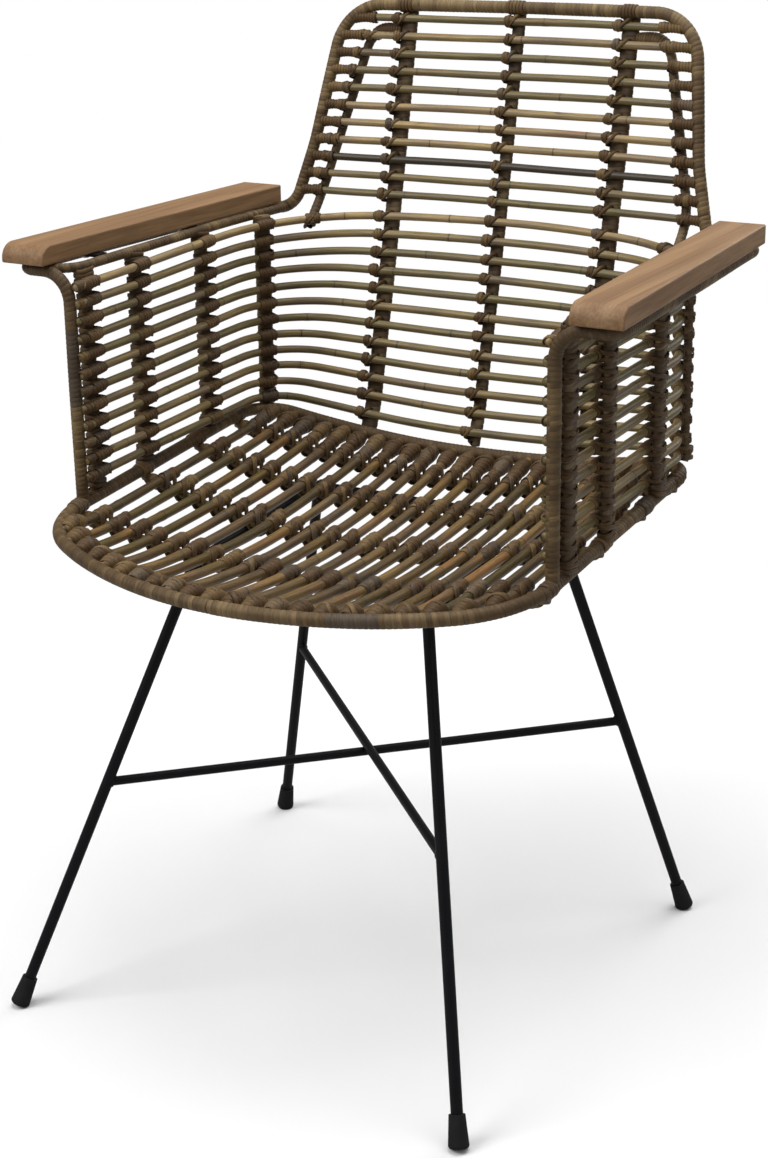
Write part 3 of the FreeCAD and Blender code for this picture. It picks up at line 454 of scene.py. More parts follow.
    def rim(self) -> Line:
        """The closed rim: two-radius front, straight sides, sagging rear.

        Returns:
            Its centre line.
        """
        wide, front, rear = self.seat_half_width, -self.seat_front_reach, self.seat_rear_setback
        shallow = self.rim_front_radius
        big_centre = front + shallow
        span = big_centre + self.rim_side_reach
        corner_radius = (shallow**2 - wide**2 - span**2) / (2 * (shallow - wide))
        across = (wide - corner_radius) / (shallow - corner_radius)
        along = span / (shallow - corner_radius)
        front_vertex = (shallow - shallow * along) / across
        side_vertex = big_centre - (shallow - wide * across) / along
        sag_run = self.rim_sag_half_width
        slope = 2 * self.rim_rear_sag * sag_run / self.dish_half_width() ** 2
        low = self.rim_plane(rear) - self.rim_rear_sag - slope * sag_run / 2
        right = [
            point(front_vertex, front, self.rim_plane(front)),
            point(wide, side_vertex, self.rim_plane(side_vertex)),
            point(wide, rear, low + slope * wide),
        ]
        points = right + [point(0, rear, low)] + [mirrored(place) for place in reversed(right)]
        side_reach = float(np.linalg.norm(points[1] - points[0])) - front_vertex
        corner = reach_of(self.rim_rear_corner_radius, points[1], points[2], points[3])
        reaches = {0: front_vertex, 1: side_reach, 2: corner, 3: math.hypot(sag_run, slope * sag_run)}
        reaches |= {4: corner, 5: side_reach, 6: front_vertex}
        return Line.rounded(points, reaches, closed=True)

    def back_line(self, x: float = 0.0, shift: float = 0.0, behind: float = 0.0) -> Line:
        """The line of the back in an upright plane, shifted back and then offset behind itself.

        Args:
            x: where the plane is.
            shift: how far it is shifted back.
            behind: the offset.

        Returns:
            The centre line.
        """
        knee = self.rim_rear_height + self.back_knee_rise
        foot, middle = self.rim_rear_height - self.back_foot_drop, knee + self.back_mid_rise
        heights = (foot, knee, middle, self.back_top())
        points = [point(0, self.seat_rear_setback + self.back_foot_gap, heights[0])]
        for low, high, lean in zip(heights, heights[1:], self.back_lean_angles):
            points.append(points[-1] + point(0, (high - low) * math.tan(math.radians(lean)), high - low))
        square = [unit(point(0, (two - one)[2], -(two - one)[1])) for one, two in zip(points, points[1:])]
        square = [square[0], *square, square[-1]]
        moved = []
        for place, one, two in zip(points, square, square[1:]):
            corner = unit(one + two)
            moved.append(place + corner * (behind / float(np.dot(corner, one))) + point(x, shift, 0))
        radii = {1: self.back_knee_radius + behind, 2: self.back_mid_radius + behind}
        return Line.rounded(moved, reaches_of(radii, moved))

    def cane_setback(self, height: float) -> float:
        """Centre line of the back canes at the middle of the back."""
        line = self.back_line()
        return float(line.at(line.crossings(2, height)[:1])[0, 1])

    def hoop(self) -> Line:
        """From the left armrest round the back of it, up, over the top and down to the right one.

        Returns:
            The hoop's centre line.
        """
        depth, level, wide = self.bow_depth(), self.loop_level(), self.hoop_foot_half_width()
        foot = self.bowed(self.cane_setback(level), depth, wide)
        waist = level + (self.back_top() - level) * self.hoop_waist_share
        top = self.cane_setback(self.back_top() - self.nest_gap) + self.hoop_rail_setback
        joint = self.loop_joint()
        waist_y = self.bowed(self.cane_setback(waist), depth, self.hoop_waist_half_width)
        top_y = self.bowed(top, depth, self.hoop_top_half_width)
        right = [
            point(self.loop_half_width(joint), joint, level),
            point(self.loop_half_width(foot), foot, level),
            point(wide, foot, level),
            point(self.hoop_waist_half_width, waist_y, waist),
            point(self.hoop_top_half_width, top_y, self.back_top()),
        ]
        middle = point(0, top + depth, self.back_top())
        points = right + [middle] + [mirrored(place) for place in reversed(right)]
        waist_radius, corner_radius = self.hoop_waist_radius, self.hoop_corner_radius
        radii = (self.loop_corner_radius, self.hoop_foot_radius, waist_radius, corner_radius)
        reaches = reaches_of(dict(enumerate(radii, start=1)), points)
        reaches |= {len(points) - 1 - index: reach for index, reach in reaches.items()}
        reaches[len(right)] = self.bow_reach(middle, right[-1])
        return Line.rounded(points, reaches)

    def upper_canes(self, hoop: Line) -> list[Line]:
        """Straight canes across the upper back, the lowest first.

        Args:
            hoop: the hoop's centre line.

        Returns:
            Their centre lines.
        """
        first = self.first_upper_height()
        room = self.back_top() - self.upper_cane_last_drop - first
        steps = int(room / self.upper_cane_pitch + 0.5)
        lines = []
        for number in range(steps + 1):
            middle, end = self.straight_cane(hoop, first + room / steps * number)
            reach = self.bow_reach(middle, end)
            lines.append(Line.rounded([mirrored(end), middle, end], {1: reach}))
        return lines

    def straight_cane(self, hoop: Line, height: float) -> tuple[Array, Array]:
        """Middle vertex and right-hand end of a straight cane.

        Args:
            hoop: the hoop's centre line.
            height: the cane's height.

        Returns:
            The vertex and the end.
        """
        middle = point(0, self.cane_setback(height) + self.bow_depth(), height)
        ends = hoop.at(hoop.crossings(2, height))
        return middle, ends[np.argmax(ends[:, 0])]

    def side_stake(self, hoop: Line, top_wrap: Line) -> Line:
        """The right-hand side stake, up beside the hoop and in to the main stake.

        Args:
            hoop: the hoop's centre line.
            top_wrap: the highest wrap cane's.

        Returns:
            Its centre line.
        """
        behind = self.behind(self.side_stake_dia)
        foot_x = self.hoop_foot_half_width() - self.side_stake_foot_inset
        top_x = self.hoop_top_half_width - self.side_stake_top_inset
        inner_x = self.main_stake_half_width + self.stake_dia / 2
        join = self.back_top() - self.side_stake_join_drop
        knee = self.first_upper_height()
        feet = top_wrap.at(top_wrap.crossings(0, foot_x))
        foot = feet[np.argmax(feet[:, 1])]

        def beside(x: float, height: float) -> Array:
            """A place just behind the straight cane of this height."""
            middle, end = self.straight_cane(hoop, height)
            return point(x, middle[1] + (end[1] - middle[1]) * x / end[0] + behind, height)

        points = [foot + point(0, behind, -self.wrap_cane_dia), beside(foot_x, knee)]
        points += [beside(top_x, join), beside(inner_x, join)]
        gentle = float(np.linalg.norm(points[1] - points[0])) * self.rail_bend_share
        reaches = {1: gentle, 2: reach_of(self.side_stake_bend_radius, *points[1:4])}
        return Line.rounded(points, reaches)

    def wrap(self, share: float) -> Line:
        """One cane from arm to arm.

        Args:
            share: its place, from the highest (0) to the lowest (1).

        Returns:
            Its centre line.
        """
        rear = self.rim_rear_height
        rims = (self.rim_plane(-self.arm_front_reach), rear, rear - self.rim_rear_sag)
        highs = [self.armrest_top() - drop for drop in self.wrap_top_drops]
        lows = [height + rise for height, rise in zip(rims, self.wrap_low_rises)]
        levels = (high + (low - high) * share for high, low in zip(highs, lows))
        front_level, corner_level, back_level = levels
        wide = self.arm_stake_half_width() - self.behind(self.stake_dia)
        stake = self.main_stake_half_width
        slope = (corner_level - back_level) / (wide - stake / 2)
        middle_y = self.cane_setback(back_level)
        depth = middle_y - self.cane_setback(back_level + slope * stake / 2) + self.bow_depth()
        front = point(wide, -self.arm_front_reach, front_level)
        corner = point(wide, self.bowed(middle_y, depth, wide), corner_level)
        middle = point(0, middle_y + depth, back_level - slope * stake / 2)
        reach = self.corner_reach(front, corner, middle)
        points = [mirrored(front), mirrored(corner), middle, corner, front]
        return Line.rounded(points, {1: reach, 2: self.bow_reach(middle, corner), 3: reach})

    def corner_reach(self, before: Array, vertex: Array, after: Array) -> float:
        """Reach of the corner arc that passes just inside the corner stake.

        Args:
            before: the vertex before the corner.
            vertex: the corner.
            after: the vertex after it.

        Returns:
            The reach.
        """
        stake = self.corner_stake(vertex[2])
        inward = unit(unit(before - vertex) + unit(after - vertex))
        half_turn = turn_of(before, vertex, after) / 2
        stretch = 1 / math.cos(half_turn)
        clearance = self.behind(self.stake_dia)
        middle = stretch * float(np.dot(stake - vertex, inward)) + clearance
        bend = stretch**2 - 1
        spare = middle**2 - bend * (float(np.dot(stake - vertex, stake - vertex)) - clearance**2)
        return (middle + math.sqrt(spare)) / bend * math.tan(half_turn)

    def loop(self) -> Line:
        """The right arm's front upright, bent out and back under the armrest.

        Returns:
            Its centre line.
        """
        front, joint, level = -self.arm_front_reach, self.loop_joint(), self.loop_level()
        wide = self.seat_half_width
        points = [
            point(wide, front, self.rim_plane(front)),
            point(wide, front, level),
            point(self.loop_half_width(front), front, level),
            point(self.loop_half_width(joint), joint, level),
        ]
        radii = {1: self.loop_top_radius, 2: self.loop_corner_radius}
        return Line.rounded(points, reaches_of(radii, points))

    def rail(self) -> Line:
        """The right arm's inner rail, from the loop's front bend to the hoop behind.

        Returns:
            Its centre line.
        """
        level, front, wide = self.rail_level(), -self.arm_front_reach, self.arm_stake_half_width()
        middle_y = self.cane_setback(self.loop_level())
        rear = self.bowed(middle_y, self.bow_depth(), self.hoop_foot_half_width())
        points = [
            point(self.seat_half_width + self.loop_top_radius, front, level),
            point(wide, front + self.arm_rail_front_run, level),
            point(wide, self.seat_rear_setback - self.arm_rail_bend_advance, level),
            point(self.seat_half_width - self.arm_rail_rear_inset, rear, level),
        ]
        first = float(np.linalg.norm(points[1] - points[0])) * self.rail_bend_share
        last = float(np.linalg.norm(points[3] - points[2])) * self.rail_bend_share
        return Line.rounded(points, {1: first, 2: last})


# Shader graphs


class Wire:
    """A shader output whose operators add the nodes that work on it."""

    def __init__(self, graph: "Graph", socket: bpy.types.NodeSocket) -> None:
        """Holds an output of a graph's node."""
        self.graph = graph
        self.socket = socket

    @property
    def is_vector(self) -> bool:
        """Whether the output is a vector or a colour."""
        return self.socket.type in ("VECTOR", "RGBA")

    def _operate(self, operation: str, first: object, second: object) -> "Wire":
        """Adds the maths node of an operation.

        Args:
            operation: the node's operation.
            first: the first value, a number, a tuple or a Wire.
            second: the second value.

        Returns:
            The node's output.
        """
        both = [first, second]
        wide = any(isinstance(each, tuple) or (isinstance(each, Wire) and each.is_vector) for each in both)
        if wide:
            both = [(value,) * 3 if isinstance(value, (int, float)) else value for value in both]
        kind = "ShaderNodeVectorMath" if wide else "ShaderNodeMath"
        return self.graph.add(kind, {"operation": operation}, {0: both[0], 1: both[1]})

    def __add__(self, other: object) -> "Wire":
        """The sum."""
        return self._operate("ADD", self, other)

    def __sub__(self, other: object) -> "Wire":
        """The difference."""
        return self._operate("SUBTRACT", self, other)

    def __rsub__(self, other: object) -> "Wire":
        """The difference from another value."""
        return self._operate("SUBTRACT", other, self)

    def __mul__(self, other: object) -> "Wire":
        """The product."""
        return self._operate("MULTIPLY", self, other)

    __radd__ = __add__
    __rmul__ = __mul__

    def component(self, index: int) -> "Wire":
        """One component of a vector."""
        return self.graph.add("ShaderNodeSeparateXYZ", {}, {0: self}, output=index)

    def between(self, low: float, high: float) -> "Wire":
        """A smooth step from 0 at low to 1 at high."""
        values = {"Value": self, "From Min": low, "From Max": high}
        return self.graph.add("ShaderNodeMapRange", {"interpolation_type": "SMOOTHSTEP"}, values)

    def spread(self, low: float, high: float) -> "Wire":
        """A value of 0 to 1 spread over another range."""
        return self.graph.add("ShaderNodeMapRange", {}, {"Value": self, "To Min": low, "To Max": high})


class Graph:
    """The node tree of a material or a world."""

    def __init__(self, owner: Material | bpy.types.World) -> None:
        """Empties the owner's node tree.

        Args:
            owner: the material or the world.
        """
        self.owner = owner
        owner.use_nodes = True
        self.tree = owner.node_tree
        self.tree.nodes.clear()

    def add(self, kind: str, settings: dict, values: dict, output: int = 0) -> Wire:
        """A node with its settings and its inputs.

        Args:
            kind: the node's type.
            settings: the node's own options by name.
            values: a value or a Wire for each input, by its name or index.
            output: index of the output that is returned.

        Returns:
            The chosen output.
        """
        node = self.tree.nodes.new(kind)
        for name, value in settings.items():
            setattr(node, name, value)
        for name, value in values.items():
            if isinstance(value, Wire):
                self.tree.links.new(value.socket, node.inputs[name])
            elif isinstance(value, tuple) and len(node.inputs[name].default_value) == len(value) + 1:
                node.inputs[name].default_value = (*value, 1.0)
            else:
                node.inputs[name].default_value = value
        return Wire(self, node.outputs[output])

    def attribute(self, name: str) -> Wire:
        """A vector that the mesh stores at every vertex."""
        return self.add("ShaderNodeAttribute", {"attribute_name": name}, {}, output=1)

    def noise(self, place: Wire, scale: float = 1.0, detail: float = 2.0, distortion: float = 0.0) -> Wire:
        """Smooth noise of about 0 to 1."""
        values = {"Vector": place, "Scale": scale, "Detail": detail, "Distortion": distortion}
        return self.add("ShaderNodeTexNoise", {}, values)

    def mix(self, share: object, first: object, second: object) -> Wire:
        """One colour turning into another as share goes from 0 to 1."""
        values = {0: share, 6: first, 7: second}
        return self.add("ShaderNodeMix", {"data_type": "RGBA"}, values, output=2)

    def bump(self, height: Wire, depth: float, strength: float = 1.0) -> Wire:
        """Normals that follow a height of 0 to 1 over this depth."""
        return self.add("ShaderNodeBump", {}, {"Strength": strength, "Distance": depth, "Height": height})

    def surface(self, colour: Wire, rough: Wire, specular: float, normal: Wire,
                metallic: float = 0.0) -> Material:
        """Ends the graph with a surface.

        Args:
            colour: its base colour.
            rough: its roughness.
            specular: its specular level.
            normal: its normals.
            metallic: 1 for bare metal.

        Returns:
            The material.
        """
        values = {"Base Color": colour, "Roughness": rough, "Metallic": metallic}
        values |= {"Specular IOR Level": specular, "Normal": normal}
        return self.close(self.add("ShaderNodeBsdfPrincipled", {}, values))

    def close(self, shader: Wire, end: str = "ShaderNodeOutputMaterial") -> Material | bpy.types.World:
        """Ends the graph with a shader.

        Args:
            shader: the shader's output.
            end: the type of the output node.

        Returns:
            The material or the world.
        """
        output = self.tree.nodes.new(end)
        self.tree.links.new(shader.socket, output.inputs["Surface"])
        return self.owner


@dataclass(frozen=True)
class CaneFinish:
    """Smoked rattan cane: lengthwise streaks, blotches, dark node rings, a satin skin."""

    name: str
    pale: Colour = (0.330, 0.232, 0.090)
    olive: Colour = (0.176, 0.140, 0.054)
    grey: Colour = (0.168, 0.122, 0.088)
    rust: Colour = (0.250, 0.108, 0.036)
    dark: Colour = (0.036, 0.027, 0.020)
    rust_share: float = 0.13
    grey_share: float = 0.38
    roughness: float = 0.34

    def material(self) -> Material:
        """Builds the finish.

        Returns:
            Its material.
        """
        graph = Graph(bpy.data.materials.new(self.name))
        grain, traits = graph.attribute("grain"), graph.attribute("traits")
        tone, hue, mark = (traits.component(index) for index in range(3))
        streak = graph.noise(grain * (26.0, 620.0, 620.0), detail=3.0)
        fibre = graph.noise(grain * (90.0, 2600.0, 2600.0), detail=2.0)
        patch = graph.noise(grain * (17.0, 60.0, 60.0), detail=2.5, distortion=0.6)
        stain = graph.noise(grain * (34.0, 190.0, 190.0) + (7.0, 3.0, 5.0), detail=3.0)
        colour = graph.mix((hue * 0.7 + patch * 0.6).between(0.35, 0.95), self.olive, self.pale)
        worn = graph.noise(grain * (12.0, 40.0, 40.0) + (2.0, 9.0, 4.0))
        colour = graph.mix((worn + hue * 0.2).between(0.78 - self.grey_share, 0.92) * 0.8, colour, self.grey)
        warm = graph.noise(grain * (12.0, 90.0, 90.0) + (5.0, 1.0, 8.0), detail=2.0)
        rusty = (warm + tone * 0.15).between(0.80 - self.rust_share, 0.95) * 0.75
        colour = graph.mix(rusty, colour, self.rust)
        shade = (streak.between(0.25, 0.75).spread(0.66, 1.22)) * (fibre.between(0.3, 0.7).spread(0.88, 1.1))
        colour = colour * (shade * tone.spread(0.62, 1.28))
        spots = stain.between(0.66, 0.78) * 0.75
        colour = graph.mix(spots, colour, self.dark)
        colour = graph.mix(mark.between(0.08, 1.0) * 0.88, colour, self.dark)
        relief = streak * 0.55 + fibre * 0.45
        rough = (streak * 0.5 + worn * 0.5).spread(self.roughness - 0.1, self.roughness + 0.2)
        return graph.surface(colour, rough, 0.34, graph.bump(relief, 0.00012, 0.6))


@dataclass(frozen=True)
class StripFinish:
    """Split cane strips, each with its own tone, fine fibres and a duller skin."""

    name: str
    brown: Colour = (0.104, 0.058, 0.023)
    straw: Colour = (0.206, 0.135, 0.054)
    grey: Colour = (0.108, 0.080, 0.056)
    dark: Colour = (0.030, 0.021, 0.014)
    roughness: float = 0.5

    def material(self) -> Material:
        """Builds the finish.

        Returns:
            Its material.
        """
        graph = Graph(bpy.data.materials.new(self.name))
        grain, traits = graph.attribute("grain"), graph.attribute("traits")
        tone, hue, mark = (traits.component(index) for index in range(3))
        fibre = graph.noise(grain * (60.0, 2400.0, 900.0), detail=3.0)
        patch = graph.noise(grain * (30.0, 120.0, 120.0), detail=2.0, distortion=0.5)
        colour = graph.mix((tone * 0.8 + patch * 0.45).between(0.45, 1.05), self.brown, self.straw)
        colour = graph.mix((hue + patch * 0.3).between(0.86, 1.25), colour, self.grey)
        colour = colour * (fibre.between(0.25, 0.75).spread(0.68, 1.25) * tone.spread(0.72, 1.2))
        stain = graph.noise(grain * (80.0, 300.0, 300.0) + (4.0, 8.0, 1.0), detail=2.0)
        colour = graph.mix(stain.between(0.62, 0.76) * 0.6, colour, self.dark)
        colour = graph.mix(mark * 0.85, colour, self.dark)
        rough = fibre.spread(self.roughness - 0.08, self.roughness + 0.2)
        return graph.surface(colour, rough, 0.24, graph.bump(fibre, 0.00014, 0.6))


@dataclass(frozen=True)
class WoodFinish:
    """Oiled hardwood with straight grain along the board."""

    name: str
    early: Colour = (0.274, 0.160, 0.076)
    late: Colour = (0.200, 0.106, 0.045)
    pore: Colour = (0.105, 0.056, 0.028)
    roughness: float = 0.5

    def material(self) -> Material:
        """Builds the finish.

        Returns:
            Its material.
        """
        graph = Graph(bpy.data.materials.new(self.name))
        place = graph.add("ShaderNodeTexCoord", {}, {}, output=3)
        sway = graph.noise(place * (7.0, 2.2, 7.0), detail=2.0)
        bands = graph.noise(place * (75.0, 1.8, 75.0) + sway * 2.5, detail=3.0)
        lines = graph.noise(place * (420.0, 6.0, 420.0) + sway * 6.0, detail=2.0)
        fibre = graph.noise(place * (1500.0, 38.0, 1500.0), detail=2.0)
        pores = graph.noise(place * (1900.0, 95.0, 1900.0) + (3.0, 1.0, 2.0), detail=1.0)
        colour = graph.mix(bands.between(0.32, 0.72), self.early, self.late)
        colour = colour * (lines.between(0.3, 0.7).spread(0.84, 1.12) * fibre.spread(0.86, 1.12))
        colour = graph.mix(pores.between(0.66, 0.76) * 0.55, colour, self.pore)
        rough = (fibre * 0.6 + bands * 0.4).spread(self.roughness - 0.08, self.roughness + 0.18)
        relief = fibre * 0.7 - pores.between(0.62, 0.76) * 0.3
        return graph.surface(colour, rough, 0.35, graph.bump(relief, 0.0001, 0.55))


@dataclass(frozen=True)
class PaintFinish:
    """Satin black powder coat, or bare metal or rubber when the values say so."""

    name: str
    colour: Colour = (0.0040, 0.0042, 0.0054)
    wear: Colour = (0.0080, 0.0082, 0.0098)
    roughness: float = 0.42
    metallic: float = 0.0
    orange_peel: float = 0.00005
    grain_scale: float = 900.0
    specular: float = 0.15

    def material(self) -> Material:
        """Builds the finish.

        Returns:
            Its material.
        """
        graph = Graph(bpy.data.materials.new(self.name))
        place = graph.add("ShaderNodeTexCoord", {}, {}, output=3)
        peel = graph.noise(place, self.grain_scale, 2.0)
        dust = graph.noise(place, 55.0, 4.0)
        colour = graph.mix(dust.between(0.45, 0.8) * 0.5 + peel * 0.12, self.colour, self.wear)
        rough = (peel * 0.35 + dust * 0.65).spread(self.roughness - 0.1, self.roughness + 0.2)
        bump = graph.bump(peel, self.orange_peel, 0.5)
        return graph.surface(colour, rough, self.specular, bump, self.metallic)


# Surfaces


class Sheaf:
    """Surfaces gathered into one mesh, with what the finishes read at every vertex."""

    def __init__(self) -> None:
        """Starts without any surface."""
        self.places: list[Array] = []
        self.faces: list[list[int]] = []
        self.grain: list[Array] = []
        self.traits: list[Array] = []
        self.count = 0

    def add(self, places: Array, faces: Array, grain: Array, traits: Array) -> None:
        """Adds a surface.

        Args:
            places: its vertices.
            faces: rows of four vertex indices, counted from its own first vertex.
            grain: for each vertex, length along the piece and place across it.
            traits: for each vertex, tone, hue and darkness of a mark.
        """
        self.places.append(places.reshape(-1, 3))
        self.faces += (faces.reshape(-1, faces.shape[-1]) + self.count).tolist()
        self.grain.append(grain.reshape(-1, 3))
        self.traits.append(traits.reshape(-1, 3))
        self.count += len(self.places[-1])

    def cap(self, ring: Array) -> None:
        """Closes a ring of vertices with one face."""
        self.faces.append(ring.tolist())

    def piece(self, name: str, slot: Slot, material: Material, *nodes: str) -> None:
        """Makes the object that rides on the chair.

        Args:
            name: the piece's name.
            slot: not used.
            material: its finish.
            nodes: the CAD nodes that it stands for.
        """
        places = np.concatenate(self.places) - point(0, ORIGIN_SETBACK, 0)
        mesh = bpy.data.meshes.new(name)
        mesh.from_pydata(places.tolist(), [], self.faces)
        for label, rows in (("grain", self.grain), ("traits", self.traits)):
            layer = mesh.attributes.new(label, "FLOAT_VECTOR", "POINT")
            layer.data.foreach_set("vector", np.concatenate(rows).astype(np.float32).ravel())
        mesh.shade_smooth()
        mesh.materials.append(material)
        thing = bpy.data.objects.new(name, mesh)
        bpy.context.scene.collection.objects.link(thing)
        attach(thing, BODY)
        if nodes:
            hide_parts(*nodes)
        LOG.info("%s: %d vertices, %d faces", name, len(mesh.vertices), len(mesh.polygons))


def grid(rows: int, columns: int) -> Array:
    """Vertex indices of a surface that is counted row by row."""
    return np.arange(rows * columns).reshape(rows, columns)


def quads(index: Array) -> Array:
    """Faces between the neighbouring rows and columns of a grid of vertex indices."""
    corners = [index[:-1, :-1], index[:-1, 1:], index[1:, 1:], index[1:, :-1]]
    return np.stack(corners, axis=-1).reshape(-1, 4)


def round_off(index: Array) -> Array:
    """The same grid with its first column again after its last, for a section that closes."""
    return np.hstack([index, index[:, :1]])


def spread_over(shape: tuple, *values: object) -> Array:
    """Three values for each vertex of a grid, each one spread over the grid's shape."""
    return np.stack([np.broadcast_to(value, shape) for value in values], axis=-1)


def circle(sides: int) -> Array:
    """Evenly spaced angles round a section."""
    return np.linspace(0, 2 * math.pi, sides, endpoint=False)


@dataclass(frozen=True)
class Cane:
    """A round cane with slightly uneven thickness, swollen nodes and a dark ring at each one."""

    diameter: float
    sides: int = 14
    ring_gap: float = 0.005
    node_gap: Range = (0.10, 0.24)
    node_swell: float = 0.055
    node_reach: float = 0.0026
    node_rings: tuple = (-0.0045, -0.0022, -0.0009, 0.0, 0.0009, 0.0022, 0.0045)
    node_clearance: float = 0.0052
    node_shade: float = 0.22
    end_margin: float = 0.004
    groove_reach: float = 0.0006
    groove_depth: float = 0.05
    unevenness: float = 0.022
    wave_count: int = 4
    wave_heights: Range = (0.3, 1.0)
    wave_rates: Range = (8, 60)
    ovalness: float = 0.02
    oval_twist: float = 9.0
    drift: float = 0.0003
    drift_rates: Range = (31, 23)
    upright: float = 0.8
    smoke: float = 0.0

    def nodes(self, line: Line, rng: Rng) -> Array:
        """Lengths along the line at which the cane has its nodes.

        Args:
            line: its centre line.
            rng: source of its irregularity.

        Returns:
            The lengths.
        """
        nodes = []
        run = rng.uniform(0.01, self.node_gap[1])
        while run < line.length - self.end_margin:
            nodes.append(run)
            run += rng.uniform(*self.node_gap)
        return np.array(nodes)

    def runs(self, line: Line, nodes: Array) -> Array:
        """Lengths along the line that have a ring of vertices, closer together at the nodes.

        Args:
            line: its centre line.
            nodes: where it has nodes.

        Returns:
            The lengths, in order.
        """
        runs = np.linspace(0, line.length, max(3, int(line.length / self.ring_gap)))
        if len(nodes):
            runs = runs[np.min(np.abs(runs[:, None] - nodes), axis=1) > self.node_clearance]
            runs = np.concatenate([runs, (nodes[:, None] + np.array(self.node_rings)).ravel()])
        return np.unique(np.clip(np.concatenate([[0, line.length], runs]), 0, line.length))

    def lay(self, sheaf: Sheaf, line: Line, rng: Rng, tone: float, hue: float) -> None:
        """Adds the cane along a line.

        Args:
            sheaf: where it goes.
            line: its centre line.
            rng: source of its irregularity.
            tone: 0 for dark to 1 for pale.
            hue: 0 for olive to 1 for tan.
        """
        nodes = self.nodes(line, rng)
        runs = self.runs(line, nodes)
        angle = circle(self.sides)
        waves = sum(
            rng.uniform(*self.wave_heights)
            * np.sin(runs * rng.uniform(*self.wave_rates) + rng.uniform(0, PHASE_SPAN))
            for _ in range(self.wave_count)
        )
        radius = self.diameter / 2 * (1 + self.unevenness * waves / 2)
        mark = np.full(len(runs), self.smoke)
        for node in nodes:
            bulge = np.exp(-(((runs - node) / self.node_reach) ** 2))
            radius *= 1 + self.node_swell * bulge * rng.uniform(0.5, 1.3)
            groove = np.exp(-(((runs - node) / self.groove_reach) ** 2))
            radius *= 1 - self.groove_depth * groove
            mark = np.maximum(mark, groove * rng.uniform(0.45, 1.0) + self.node_shade * bulge)
        phase = rng.uniform(0, PHASE_SPAN)
        oval = 1 + self.ovalness * np.cos(2 * angle[None, :] + phase + runs[:, None] * self.oval_twist)
        ring = radius[:, None] * oval
        lying = abs(line.tangent(0.0)[2]) < self.upright
        normal = line.normals(runs, UP if lying else FORWARD)
        side = np.cross(line.tangent(runs), normal)
        across, along = ring * np.cos(angle), ring * np.sin(angle)
        sway = np.sin(np.outer(runs, self.drift_rates) + rng.uniform(0, PHASE_SPAN, 2))
        drift = self.drift * (sway[:, :1] * normal + sway[:, 1:] * side)
        places = (line.at(runs) + drift)[:, None]
        places = places + across[..., None] * normal[:, None] + along[..., None] * side[:, None]
        offset = rng.uniform(0, 50)
        grain = spread_over(ring.shape, runs[:, None] + offset, across, along)
        start = sheaf.count
        index = grid(*ring.shape)
        traits = spread_over(ring.shape, tone, hue, mark[:, None])
        sheaf.add(places, quads(round_off(index)), grain, traits)
        sheaf.cap(index[0][::-1] + start)
        sheaf.cap(index[-1] + start)


